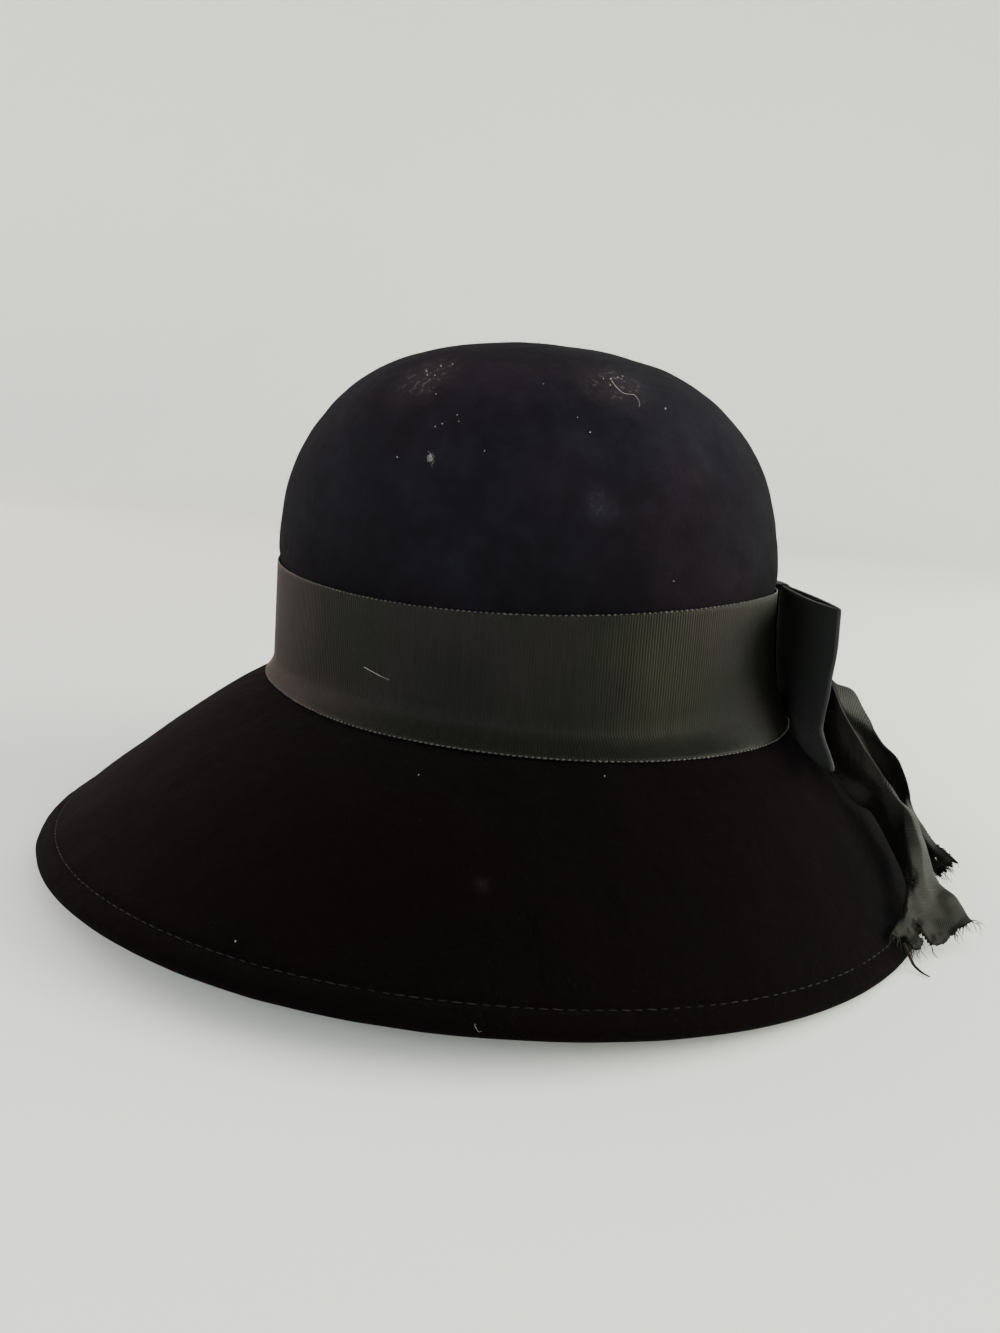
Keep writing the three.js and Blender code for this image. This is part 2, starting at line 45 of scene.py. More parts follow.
import bmesh
import bpy
import numpy as np
from bpy.props import FloatProperty, FloatVectorProperty, IntProperty, PointerProperty
from mathutils import Matrix, Vector

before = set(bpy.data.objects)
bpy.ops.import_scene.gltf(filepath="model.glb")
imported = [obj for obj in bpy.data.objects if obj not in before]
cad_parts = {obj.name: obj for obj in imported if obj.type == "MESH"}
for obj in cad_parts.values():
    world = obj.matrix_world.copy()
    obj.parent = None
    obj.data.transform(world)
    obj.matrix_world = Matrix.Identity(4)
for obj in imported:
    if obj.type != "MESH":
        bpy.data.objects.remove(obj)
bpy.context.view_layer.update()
CROWN_BOX, BRIM_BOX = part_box("felt_crown"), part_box("felt_brim")
FELT_LOW, FELT_HIGH = BRIM_BOX[0], Vector((*BRIM_BOX[1][:2], CROWN_BOX[1][2]))
MM = 0.001

# ---------- shape of the blocked felt ----------
CROWN_EGG = 0.06  # the back of the crown is this much fuller
CROWN_POWER = 2.43  # superellipse exponent of the dome's profile
CROWN_TAPER = 0.8 * MM  # the top of the band is this much narrower than the brim break
BAND_TILT = -1.7 * MM  # front lower than back
BAND_SADDLE = 2.8 * MM  # front and back higher than the sides
BAND_PRESS = 0.9 * MM  # the band draws the felt in by this much
PRESS_FADE = 3.5 * MM  # height above the band over which that fades
LIP_RISE = 9 * MM  # height over which the band flares to its lower edge
LIP_FLARE_FRONT = 3.8 * MM  # outward flare of that edge at the front
LIP_FLARE_BACK = 11.4 * MM  # and round the sides and back
LIP_FLARE_FROM = 42  # degrees from the front where the flare starts to grow
LIP_FLARE_FULL = 88  # and where it is full
SLACK_RISE = 44 * MM  # beside the bow the flare starts this high up
SLACK_ANGLE = 182  # degrees from the front to the middle of that slack part
SLACK_SPREAD = 20
RIM_FORWARD = 3.5 * MM  # the brim is longer at the front than at the back
RIM_SADDLE = 6.5 * MM  # front and back hang lower than the sides
BRIM_BULGE = 3.2 * MM  # upward swell halfway down the brim
BRIM_SKEW = 0.5  # moves that swell up towards the crown
BRIM_SPAN = 90 * MM  # mean width of the brim
STEP = 0.004  # of the angle and of v, for numeric derivatives
LUMP_WAVES = 14  # waves that are summed to make soft lumps
LUMP_DIVISOR = 5  # brings their sum to about -1 to 1

# Soft dents and ridges: degrees round, millimetres above the break, millimetres inward.
DENTS = [
    dict(name="front facet", angle=36, height=100, spread=20, rise=15, push=1.4),
    dict(name="back-left ridge", angle=147, height=92, spread=6, rise=24, push=-0.9),
    dict(name="back-left hollow", angle=155, height=93, spread=7, rise=22, push=1.3),
    dict(name="right side press", angle=262, height=100, spread=26, rise=20, push=1.4),
    dict(name="fullness beside the bow", angle=184, height=37, spread=17, rise=27, push=-2.2),
]

# ---------- bow, in millimetres from the middle of the crown at the brim break ----------
BOW_ANGLE = math.radians(209)
BOW_SEAT_V = 1.4
GAP = 0.3  # clearance between touching pieces
BAND_THICKNESS = 1.0
KNOT_WIDTH = 21
KNOT_DEPTH = 10.5
KNOT_TOP = 50
KNOT_SEAT = 0.5  # clearance that lets the flat wrap sit on the curved band
LIP_CLEARANCE = 1.5  # low parts of the bow pass this much above the flared lip
INTO_KNOT = 4  # how far the loops run into the wrap
# Each loop has its distance off the band, its heading in degrees, the heights of its lower and
# upper edge and the outward lean of the lower edge, each at the wrap (root) and at the fold, and
# how pale its fold is painted, a painted highlight. A level is a share of the height, then reach,
# swell and half depth.
# The near loop's reaches were solved by a separate script, which isn't kept, and then rounded.
LOOPS = {
    "near_loop": dict(
        side=1, base=8, heading=24, bottom_root=3, bottom_fold=-4, dip=1.6, top_root=49.5,
        top_fold=50, lean_root=5.2, lean_fold=1, rubbed_and_highlight=0.8,
        levels=[
            (0, 71, 4.5, 2.4), (0.2, 56, 2, 2.4), (0.5, 59, 1, 2.2), (0.75, 61, 1, 2),
            (1, 59.6, 1.2, 2),
        ],
    ),
    "far_loop": dict(
        side=-1, base=6.5, heading=220, bottom_root=8, bottom_fold=1, dip=0, top_root=48,
        top_fold=47, lean_root=5, lean_fold=3, rubbed_and_highlight=0.3,
        levels=[(0, 60, 1, 2.8), (0.3, 55, 1, 2.8), (1, 58, 1, 2.8)],
    ),
}
# Each row of a tail: upper edge, ridge, belly, lower fold, edge turned under it. Most of these
# points were computed and written here by separate fitting scripts, which aren't kept. They were
# not chosen by hand or worked out from a formula, so they aren't an example to follow.
NEAR_TAIL_ROWS = [
    [(-31, 109.5, 31), (-31, 110, 23), (-31, 111.5, 15), (-31, 113, 7), (-31, 113.5, 0.5)],
    [(-19, 115.5, 29), (-18.5, 117, 20), (-17, 119, 9), (-15.5, 121, 0), (-16, 121, -3.5)],
    [(-4, 121, 25), (-2, 123, 16), (-1, 124.5, 4.5), (-3, 126, -6), (-6.5, 125, -8)],
    [(4, 125.5, 20), (3.5, 127.5, 11), (3, 130, 0), (-1, 131.5, -11.5), (1, 127.5, -10.5)],
    [(6, 130.5, 12), (5.5, 132.5, 5), (5, 135, -3.5), (1, 135, -13), (3, 132, -14.5)],
    [(6.5, 138, 2), (6, 139, -3), (5.5, 140, -8), (2.5, 139.5, -14), (4, 134.5, -17)],
    [(4, 144.5, -6.5), (4, 145, -9.5), (4, 145, -12), (1.5, 143.5, -16.5), (1.5, 139.5, -22)],
    [(3.5, 153, -17), (5.5, 152, -16), (5.5, 150, -16.5), (4.5, 147.5, -18.5), (-4, 144.5, -26)],
    [(2.5, 159, -22.5), (7, 157, -20.5), (7, 155, -20), (5, 151, -25.5), (-0.5, 150.5, -32.5)],
    [(3, 162.5, -29.5), (7.5, 160, -26.5), (8.5, 156.5, -26.5), (5, 155, -31.5), (2.5, 155, -39)],
    [(9, 165.5, -34), (13, 162.5, -31.5), (14, 158, -31), (12.5, 158, -36), (11.5, 158, -41.5)],
    [(15.5, 168.5, -39.5), (21.5, 164, -37), (24, 160.5, -37), (23, 159.5, -39),
     (22.5, 159.5, -42.5)],
    [(20, 175.5, -43), (29, 168, -44.5), (35.5, 163, -44.5), (37.5, 159.5, -42), (38, 158.5, -45)],
    [(24.5, 181, -48), (35.5, 173, -54), (44.5, 166, -54.5), (50, 159, -51), (53, 155, -47)],
]
FAR_TAIL_ROWS = [
    [(-45, 106, 31), (-45, 106.5, 24), (-44, 107, 17), (-44, 107.5, 10), (-43, 108, 4)],
    [(-36, 112, 27), (-34, 113.5, 20), (-33, 114.5, 13), (-31, 115.5, 6), (-29, 116.5, -1)],
    [(-25, 119, 23), (-21, 121, 18), (-21, 122, 11), (-19, 123, 5), (-17, 124, -2)],
    [(-16, 125, 18), (-7, 127, 14.5), (-8, 128.5, 8), (-6, 130, 2), (-2, 131.5, -6)],
    [(-18.5, 131.5, 15.5), (-9.5, 131, 9), (-11.5, 133, 2.5), (-8, 135, -2.5), (-3, 137.5, -10.5)],
    [(-16.5, 139, 5.5), (-14, 138, 4), (-16, 137.5, -1.5), (-11.5, 140, -7.5), (-5.5, 142.5, -17)],
    [(-15, 144.5, -2), (-17.5, 143, -3), (-18, 142, -8), (-13.5, 144.5, -14.5), (-7.5, 147, -23)],
    [(-15, 152, -9), (-18.5, 150, -10), (-20.5, 148.5, -16), (-16, 151, -20.5), (-10, 154, -29.5)],
    [(-16, 156.5, -19.5), (-18, 155, -20), (-18.5, 154, -24), (-15, 156, -28.5), (-10, 159, -36.5)],
    [(-17, 160, -28), (-12, 157, -25.5), (-13, 158.5, -31.5), (-10, 160.5, -36), (-7, 161.5, -39)],
    [(-12.5, 168, -35.5), (-9.5, 166.5, -36.5), (-9.5, 166.5, -39.5), (-8, 167, -41.5),
     (-6.5, 167, -43.5)],
    [(-7.5, 177, -40.5), (-6, 176, -42), (-5.5, 174.5, -43.5), (-4.5, 173, -44.5),
     (-4, 171, -45.5)],
]
# A root says where a tail leaves the wrap: along the band, off the wrap, and the heights of its
# five lines. crease is how sharp its folds get; a painted highlight on its upper edge is palest
# crease_at before its end.
TAILS = {
    "near_tail": dict(
        root=(5, 0, [33, 26, 20, 14, 9]), crease=0.8, crease_at=44, rows=NEAR_TAIL_ROWS
    ),
    "far_tail": dict(
        root=(-6.5, 2.6, [36, 30, 23, 17, 11]), crease=0.4, crease_at=60, rows=FAR_TAIL_ROWS
    ),
}


# ---------- sizes and colours that a user would change ----------
def length(name, description, default):
    return FloatProperty(name=name, description=description, default=default, min=0, unit="LENGTH")


def colour(name, description, default):
    return FloatVectorProperty(
        name=name, description=description, default=default, size=3, subtype="COLOR", min=0, max=1
    )


class HatFelt(bpy.types.PropertyGroup):
    """Sizes and colours of the felt, its hem and its nap"""

    half_width: length("Crown Half Width", "Half the crown's width at the brim break", 0.0825)
    half_length: length("Crown Half Length", "Half the crown's length at the brim break", 0.1001)
    crown_rise: length("Crown Rise", "Top of the crown above the brim break", 0.1343)
    band_rise: length("Band Rise", "Top edge of the band above the brim break", 0.0463)
    rim_half_width: length("Rim Half Width", "Half the brim's width", 0.1805)
    rim_half_length: length("Rim Half Length", "Half the brim's length", 0.1715)
    rim_drop: length("Rim Drop", "Mean fall of the brim below the brim break", 0.0502)
    thickness: length("Felt Thickness", "Thickness of one layer of felt", 0.002)
    hem_thickness: length("Hem Thickness", "Thickness of the turned-under edge", 0.004)
    hem_depth: length("Hem Depth", "Width of the felt turned under the edge", 0.0085)
    stitch_inset: length("Stitch Inset", "Distance of the stitch line from the edge", 0.0074)
    stitch_pitch: length("Stitch Pitch", "Distance from one stitch to the next", 0.0037)
    stitch_length: length("Stitch Length", "Length of the thread that shows in a stitch", 0.0027)
    stitch_radius: length("Stitch Radius", "Half the thickness of the stitch thread", 0.00017)
    stitch_sink: length("Stitch Sink", "How far the stitches draw the felt in", 0.0006)
    ripple: length("Surface Ripple", "Height of the felt's soft unevenness", 0.0002)
    nap_density: FloatProperty(
        name="Nap Density", description="Loose hairs on each square metre of felt",
        default=60000, min=0,
    )
    nap_length: length("Nap Length", "Length of the longest loose hair", 0.0013)
    nap_radius: length("Nap Radius", "Half the thickness of a loose hair", 0.000035)
    seed: IntProperty(name="Seed", description="Seed of the scattered nap", default=4)
    # dark is the brim's colour and worn the crown's: the crown is painted lighter, partly rubbed
    # wear and partly painted light
    dark: colour("Dark Felt", "Colour of the clean felt", (0.0017, 0.0011, 0.0011))
    worn: colour("Worn Felt", "Colour of the rubbed felt on the crown", (0.0092, 0.0091, 0.0130))
    dust: colour("Dust", "Colour of the dust on the crown", (0.16, 0.118, 0.125))
    thread: colour("Stitch Thread", "Colour of the hem's thread", (0.0058, 0.0047, 0.0046))


class HatRibbon(bpy.types.PropertyGroup):
    """Sizes and colours of the grosgrain ribbon"""

    thickness: length("Ribbon Thickness", "Thickness of the ribbon", 0.0008)
    rib_pitch: length("Rib Pitch", "Distance from one rib to the next", 0.00098)
    rib_relief: length("Rib Relief", "Height of a rib", 0.00022)
    picot_pitch: length("Picot Pitch", "Distance between the turns of thread at the edge", 0.00196)
    picot_radius: length("Picot Radius", "Half the thickness of such a turn", 0.00028)
    fray_length: length("Fray Length", "Longest loose thread at a torn end", 0.009)
    seed: IntProperty(name="Seed", description="Seed of the frayed threads", default=11)
    base: colour("Ribbon", "Main colour of the ribbon", (0.0040, 0.0045, 0.0028))
    tint: colour("Faded Ribbon", "Colour of its faded patches", (0.0084, 0.0062, 0.0054))
    # the next colour paints the highlights on the folds of the loops and the upper edges of the
    # tails
    rubbed_and_highlight: colour("Rubbed Ribbon", "Colour of its folds, rubbed pale", (0.0165, 0.0178, 0.0172))
    edge: colour("Ribbon Edge", "Colour of the woven edge", (0.026, 0.025, 0.022))
    thread: colour("Loose Thread", "Colour of the long loose threads", (0.0130, 0.0085, 0.0060))
    lint: colour("Lint", "Colour of specks and hairs", (0.30, 0.285, 0.27))


class HatStage(bpy.types.PropertyGroup):
    """Camera, lights and floor"""

    lens: FloatProperty(
        name="Lens", description="Focal length on a 36 mm long side", default=27.29, unit="CAMERA"
    )
    place: FloatVectorProperty(
        name="Camera Place",
        description="Camera from the middle of the crown at the brim break",
        default=(0.37635, 0.14309, 0.09767),
        subtype="TRANSLATION",
        unit="LENGTH",
    )
    heading: FloatProperty(
        name="Heading", description="Turn of the view from +Y towards +X",
        default=math.radians(-111.385), subtype="ANGLE",
    )
    elevation: FloatProperty(
        name="Elevation", description="Rise of the view above the horizon",
        default=math.radians(-12.505), subtype="ANGLE",
    )
    roll: FloatProperty(
        name="Roll", description="Turn of the picture about the view",
        default=math.radians(3.969), subtype="ANGLE",
    )
    floor: colour("Floor", "Colour of the floor and backdrop", (0.80, 0.805, 0.785))
    sky: colour("Sky", "Colour of the light from all round", (0.93, 0.97, 0.94))
    sky_strength: FloatProperty(
        name="Sky Strength", description="Light from all round", default=1.2
    )
    window_power: FloatProperty(
        name="Window Power", description="Large light at the hat's back", default=53, unit="POWER"
    )
    room_power: FloatProperty(
        name="Room Power", description="Soft light on the wearer's left", default=21, unit="POWER"
    )
    glow_power: FloatProperty(
        name="Glow Power", description="Warm light low at the hat's front", default=12, unit="POWER"
    )


# ---------- the felt surface, in metres ----------
def smooth(t):
    """A smooth step from 0 to 1."""
    return t * t * (3 - 2 * t)


def crown_oval(felt, angle, inset):
    """The crown's outline at the brim break, moved inward by the inset."""
    fullness = 1 - CROWN_EGG * np.cos(angle)
    x = (felt.half_width - inset) * np.sin(angle) * fullness
    y = -(felt.half_length - inset) * np.cos(angle)
    return np.stack([x, y, np.zeros_like(x)], -1)


def band_top(felt, angle):
    return felt.band_rise + BAND_TILT * np.cos(angle) + BAND_SADDLE * np.cos(2 * angle)


def degrees_from(middle, angle):
    """Degrees from a middle given in degrees to an angle in radians, from -180 to 180."""
    return (np.degrees(angle) - middle + 180) % 360 - 180


def lip_rise(angle):
    """Height over which the band flares to its lower edge."""
    turn = degrees_from(SLACK_ANGLE, angle)
    return LIP_RISE + (SLACK_RISE - LIP_RISE) * np.exp(-((turn / SLACK_SPREAD) ** 2))


def lip_flare(angle):
    """How far the lower edge of the band stands out."""
    turn = np.degrees(np.arccos(np.clip(np.cos(angle), -1, 1)))
    growth = smooth(np.clip((turn - LIP_FLARE_FROM) / (LIP_FLARE_FULL - LIP_FLARE_FROM), 0, 1))
    return LIP_FLARE_FRONT + (LIP_FLARE_BACK - LIP_FLARE_FRONT) * growth


def dent_push(angle, height):
    """How far the dents and ridges move the felt inward."""
    push = np.zeros_like(height)
    for dent in DENTS:
        across = degrees_from(dent["angle"], angle) / dent["spread"]
        up = (height / MM - dent["height"]) / dent["rise"]
        push += dent["push"] * MM * np.exp(-across * across - up * up)
    return push


def felt_point(felt, angle, v):
    """Outer surface of the felt from the middle of the crown at the brim break."""
    angle, v = (np.array(x, float) for x in np.broadcast_arrays(angle, v))
    top = band_top(felt, angle)
    turn = np.clip(v, 0, 1) * math.pi / 2
    reach = np.sin(turn) ** (2 / CROWN_POWER)
    height = top + (felt.crown_rise - top) * np.clip(np.cos(turn), 0, 1) ** (2 / CROWN_POWER)
    press = BAND_PRESS * np.exp(-(((height - top) / PRESS_FADE) ** 2))
    inset = CROWN_TAPER + press + dent_push(angle, height)
    dome = crown_oval(felt, angle, inset) * reach[..., None]
    dome[..., 2] = height
    low = top * (2 - v)
    out = lip_flare(angle) * np.clip(1 - low / lip_rise(angle), 0, 1) ** 2
    inset = BAND_PRESS + (CROWN_TAPER + dent_push(angle, low)) * low / top
    wall = crown_oval(felt, angle, inset - out)
    wall[..., 2] = low
    t = np.clip(v - 2, 0, 1)
    start = crown_oval(felt, angle, BAND_PRESS - lip_flare(angle))
    x = felt.rim_half_width * np.sin(angle)
    y = -felt.rim_half_length * np.cos(angle) - RIM_FORWARD
    z = -felt.rim_drop - RIM_SADDLE * np.cos(2 * angle)
    brim = start + (np.stack([x, y, z], -1) - start) * t[..., None]
    brim[..., 2] += BRIM_BULGE * 4 * t * (1 - t) * (1 + BRIM_SKEW * (1 - 2 * t))
    return np.where((v <= 1)[..., None], dome, np.where((v <= 2)[..., None], wall, brim))


def felt_axes(felt, angle, v):
    """Outward normal and outward-along-the-felt direction at each place."""
    angle, v = (np.array(x, float) for x in np.broadcast_arrays(angle, v))
    along = felt_point(felt, angle, np.minimum(v + STEP, 3)) - felt_point(
        felt, angle, np.maximum(v - STEP, 0)
    )
    around = felt_point(felt, angle + STEP, v) - felt_point(felt, angle - STEP, v)
    normal = unit(np.cross(along, around))
    normal[v < STEP] = (0, 0, 1)
    return normal, unit(np.cross(around, normal))


def unit(vectors):
    """The vectors made one long."""
    return vectors / np.maximum(np.linalg.norm(vectors, axis=-1, keepdims=True), 1e-12)


def felt_place(felt, angle, v, down=0.0, out=0.0):
    """A place on the felt moved inward by down and along the brim by out; never under the floor."""
    normal, edge = felt_axes(felt, angle, v)
    down, out = np.asarray(down)[..., None], np.asarray(out)[..., None]
    point = felt_point(felt, angle, v) - normal * down + edge * out
    point[..., 2] = np.maximum(point[..., 2], FELT_LOW.z - crown_centre().z)
    return point


def crown_centre():
    """Middle of the crown at the brim break, in the frame."""
    felt = bpy.context.scene.hat_felt
    middle = (FELT_LOW + FELT_HIGH) / 2
    return Vector((middle.x, middle.y + RIM_FORWARD, FELT_HIGH.z - felt.crown_rise))


def unevenness(points, scale, seed):
    """Soft lumps from a fixed sum of sines, from -1 to 1."""
    rng = np.random.default_rng(seed)
    total = np.zeros(points.shape[:-1])
    for _ in range(LUMP_WAVES):
        wave = rng.normal(size=3)
        wave *= rng.uniform(0.6, 1.7) * 2 * math.pi / (scale * np.linalg.norm(wave))
        total += np.sin(points @ wave + rng.uniform(0, 2 * math.pi))
    return total / LUMP_DIVISOR


def in_frame(points):
    """Points from the middle of the crown at the brim break, moved to the frame."""
    return np.asarray(points) + np.array(crown_centre())


def whole_turn(count):
    """Angles spread evenly over a whole turn."""
    return np.arange(count) * 2 * math.pi / count


# ---------- meshes ----------
def grid_quads(stations, rows, closed):
    """Quads of a grid, stations by rows, that runs right round if closed."""
    spans = stations if closed else stations - 1
    i, j = np.meshgrid(np.arange(spans), np.arange(rows - 1), indexing="ij")
    nxt = (i + 1) % stations
    corners = [i * rows + j, i * rows + j + 1, nxt * rows + j + 1, nxt * rows + j]
    return np.stack(corners, -1).reshape(-1, 4)


def linked(name, data):
    """A new object in the scene."""
    thing = bpy.data.objects.new(name, data)
    bpy.context.scene.collection.objects.link(thing)
    return thing


def new_piece(name, points, faces, material, nodes=()):
    """A smooth-shaded mesh object with its place in its vertices, moved to the frame."""
    mesh = bpy.data.meshes.new(name)
    mesh.from_pydata(in_frame(points).tolist(), [], [list(map(int, f)) for f in faces])
    mesh.materials.append(material)
    mesh.shade_smooth()
    mesh.update()
    return attach(linked(name, mesh), nodes)


def attach(piece, nodes=()):
    """Sets a piece on its body, with the CAD nodes that it replaces."""
    if piece.data is None or len(piece.data.vertices) == 0:
        raise RuntimeError(f"{piece.name} came out empty")
    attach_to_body(piece, "root")
    if nodes:
        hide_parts(*nodes)
    return piece


def weld(piece, distance):
    """Merges the doubled vertices at poles and turns every face outward."""
    work = bmesh.new()
    work.from_mesh(piece.data)
    bmesh.ops.remove_doubles(work, verts=work.verts, dist=distance)
    bmesh.ops.recalc_face_normals(work, faces=work.faces)
    work.to_mesh(piece.data)
    work.free()


def mark(piece, name, values):
    """A number at each vertex, for a material or a geometry tree to read."""
    marks = piece.data.attributes.new(name, "FLOAT", "POINT")
    marks.data.foreach_set("value", np.asarray(values).astype(np.float32).ravel())


RIB_ROUNDNESS = 0.8  # exponent of a rib's section
WORN_RIB = 0.7  # height of a rib that is rubbed quite flat, where 1 is a whole rib
SELVAGE_THINNESS = 0.35  # share of the thickness at the very edge
SELVAGE_TAPER = 0.9 * MM  # it grows by a whole thickness over this width


def ribbon_piece(
    name, middle, along, across, closed=False, keep=None, nodes=(), worn=0.0, rubbed_and_highlight=None,
    darkening=None,
):
    """A woven wall either side of a middle surface (stations, columns, 3), ribbed across its width.

    along and across are the arc lengths of the stations and columns. keep marks the grid cells
    that are cloth; the others are torn away. worn flattens the ribs at each station;
    rubbed_and_highlight paints a highlight that lightens each place, and darkening makes each
    place darker. The weave reads the UV map named ribbon, in metres."""
    ribbon = bpy.context.scene.hat_ribbon
    stations, columns = middle.shape[:2]
    if closed:
        run = np.roll(middle, -1, 0) - np.roll(middle, 1, 0)
    else:
        run = np.gradient(middle, axis=0)
    normal = unit(np.cross(run, np.gradient(middle, axis=1)))
    crest = np.abs(np.sin(math.pi * along / ribbon.rib_pitch)) ** RIB_ROUNDNESS
    crest = crest + (WORN_RIB - crest) * worn
    edge = np.minimum(across - across.min(), across.max() - across)
    body = np.clip(SELVAGE_THINNESS + edge / SELVAGE_TAPER, 0, 1)
    half = ribbon.thickness / 2 + ribbon.rib_relief * (crest[:, None] - 0.5)
    half = (half * body[None, :])[..., None]
    layers = middle + normal * half, middle - normal * half
    points = np.concatenate([layer.reshape(-1, 3) for layer in layers])
    spans = stations if closed else stations - 1
    if keep is None:
        keep = np.ones((spans, columns - 1), bool)
    i, j = np.nonzero(keep)
    size = stations * columns

    def corner(i, j, layer):
        return layer * size + (i % stations) * columns + j

    def uv(i, j):
        far = along[-1] + (along[-1] - along[-2])
        return np.stack([np.where(i < stations, along[i % stations], far), across[j]], -1)

    faces, maps = [], []

    def wall(a, b):
        """Side faces between the two layers, along cell edges from a to b."""
        faces.append(np.stack([corner(*a, 0), corner(*a, 1), corner(*b, 1), corner(*b, 0)], -1))
        maps.append(np.stack([uv(*a), uv(*a), uv(*b), uv(*b)], 1))

    cell = [(i, j), (i + 1, j), (i + 1, j + 1), (i, j + 1)]
    for layer, corners in ((0, cell), (1, cell[::-1])):
        faces.append(np.stack([corner(*c, layer) for c in corners], -1))
        maps.append(np.stack([uv(*c) for c in corners], 1))
    empty = ~keep
    rim = np.ones((spans, 1), bool)
    below = np.concatenate([rim, empty[:, :-1]], 1)[i, j]
    above = np.concatenate([empty[:, 1:], rim], 1)[i, j]
    ends = np.roll(empty, 1, 0), np.roll(empty, -1, 0)
    if not closed:
        ends[0][0] = True
        ends[1][-1] = True
    before, after = ends[0][i, j], ends[1][i, j]
    wall((i[below], j[below]), (i[below] + 1, j[below]))
    wall((i[above] + 1, j[above] + 1), (i[above], j[above] + 1))
    wall((i[before], j[before] + 1), (i[before], j[before]))
    wall((i[after] + 1, j[after]), (i[after] + 1, j[after] + 1))
    faces, maps = np.concatenate(faces), np.concatenate(maps)
    used, faces = np.unique(faces, return_inverse=True)
    piece = new_piece(
        name, points[used], faces.reshape(-1, 4), grosgrain_material(), nodes
    )
    layer = piece.data.uv_layers.new(name="ribbon")
    layer.uv.foreach_set("vector", maps.astype(np.float32).ravel())
    for key, values in (("rib", np.repeat(crest, columns)), ("rubbed_and_highlight", rubbed_and_highlight), ("darkening", darkening)):
        if values is not None:
            mark(piece, key, np.tile(values.ravel(), 2)[used])
    return piece


THREAD_TIP = 0.35  # a loose thread ends this share of its thickness wide
STEEP = 0.9  # a path that climbs more than this needs the second helper direction
HELPERS = np.array([0.3, 0.2, 0.93]), np.array([1.0, 0, 0])


def tubes(name, paths, radius, material, sides=5):
    """Thin threads: one closed tube along each path of points."""
    points, faces, first = [], [], 0
    for path in paths:
        path = np.asarray(path, float)
        run = unit(np.gradient(path, axis=0))
        helper = HELPERS[0] if abs(run[0, 2]) < STEEP else HELPERS[1]
        side = unit(np.cross(run, helper))
        up = np.cross(side, run)
        turn = whole_turn(sides)[None, :, None]
        girth = radius * (1 - (1 - THREAD_TIP) * np.linspace(0, 1, len(path)) ** 2)
        ring = side[:, None] * np.cos(turn) + up[:, None] * np.sin(turn)
        points.append((path[:, None] + ring * girth[:, None, None]).reshape(-1, 3))
        for i in range(len(path) - 1):
            for k in range(sides):
                n = (k + 1) % sides
                a, b = first + i * sides, first + (i + 1) * sides
                faces.append((a + k, a + n, b + n, b + k))
        last = first + (len(path) - 1) * sides
        faces.append(tuple(first + k for k in reversed(range(sides))))
        faces.append(tuple(last + k for k in range(sides)))
        first += len(path) * sides
    return new_piece(name, np.concatenate(points), faces, material, ())


def through(points, t):
    """Centripetal Catmull-Rom curve through points (n, ..., 3), read at the parameters t."""
    points = np.asarray(points, float)
    ends = 2 * points[:1] - points[1:2], 2 * points[-1:] - points[-2:-1]
    p = np.concatenate([ends[0], points, ends[1]])
    x = np.clip(t, 0, 1) * (len(points) - 1)
    i = np.minimum(x.astype(int), len(points) - 2)
    w = (x - i).reshape((-1,) + (1,) * (points.ndim - 1))
    p0, p1, p2, p3 = p[i], p[i + 1], p[i + 2], p[i + 3]

    def knot(a, b):
        return np.maximum(np.linalg.norm(b - a, axis=-1, keepdims=True), 1e-6) ** 0.5

    d0, d1, d2 = knot(p0, p1), knot(p1, p2), knot(p2, p3)
    m1 = ((p1 - p0) / d0 - (p2 - p0) / (d0 + d1) + (p2 - p1) / d1) * d1
    m2 = ((p2 - p1) / d1 - (p3 - p1) / (d1 + d2) + (p3 - p2) / d2) * d1
    cubic = 2 * p1 - 2 * p2 + m1 + m2
    square = -3 * p1 + 3 * p2 - 2 * m1 - m2
    return ((cubic * w + square) * w + m1) * w + p1


def arc_length(path):
    """Length of a path up to each of its points."""
    steps = np.linalg.norm(np.diff(path, axis=0), axis=-1)
    return np.concatenate([[0], np.cumsum(steps)])


# ---------- node helpers ----------
def add(tree, kind, inputs=None, **settings):
    """A node with its settings and its inputs: values, or sockets to link from."""
    node = tree.nodes.new(kind)
    for key, value in settings.items():
        setattr(node, key, value)
    for key, value in (inputs or {}).items():
        if isinstance(value, bpy.types.NodeSocket):
            tree.links.new(value, node.inputs[key])
        else:
            node.inputs[key].default_value = value
    return node


def new_material(name):
    """The material and its empty tree, or None for the tree if it was made before."""
    material = bpy.data.materials.get(name)
    if material:
        return material, None
    material = bpy.data.materials.new(name)
    material.use_nodes = True
    material.node_tree.nodes.clear()
    return material, material.node_tree


def rgba(values):
    return (*values, 1.0)


MIX_FACTOR, MIX_LOW, MIX_HIGH = 0, 6, 7  # a mix node's sockets when it mixes colours


def mixed(tree, factor, low, high, blend="MIX"):
    """A colour from low to high, by a factor from 0 to 1."""
    low, high = (c if isinstance(c, bpy.types.NodeSocket) else rgba(c) for c in (low, high))
    inputs = {MIX_FACTOR: factor, MIX_LOW: low, MIX_HIGH: high}
    return add(tree, "ShaderNodeMix", inputs, data_type="RGBA", blend_type=blend).outputs[2]


def ranged(tree, value, low, high, to_low=0.0, to_high=1.0):
    """A smooth step: to_low up to low, to_high from high on."""
    inputs = {
        "Value": value, "From Min": low, "From Max": high, "To Min": to_low, "To Max": to_high
    }
    return add(tree, "ShaderNodeMapRange", inputs, interpolation_type="SMOOTHSTEP").outputs[0]


def noisy(tree, place, scale, detail=4.0, roughness=0.55):
    inputs = {"Vector": place, "Scale": scale, "Detail": detail, "Roughness": roughness}
    return add(tree, "ShaderNodeTexNoise", inputs).outputs["Fac"]


def blotches(tree, place, scale, detail, low, high, roughness=0.55, strength=1.0):
    """Noise cut to blotches: 0 where it is under low, the strength where it is over high."""
    return ranged(tree, noisy(tree, place, scale, detail, roughness), low, high, 0.0, strength)


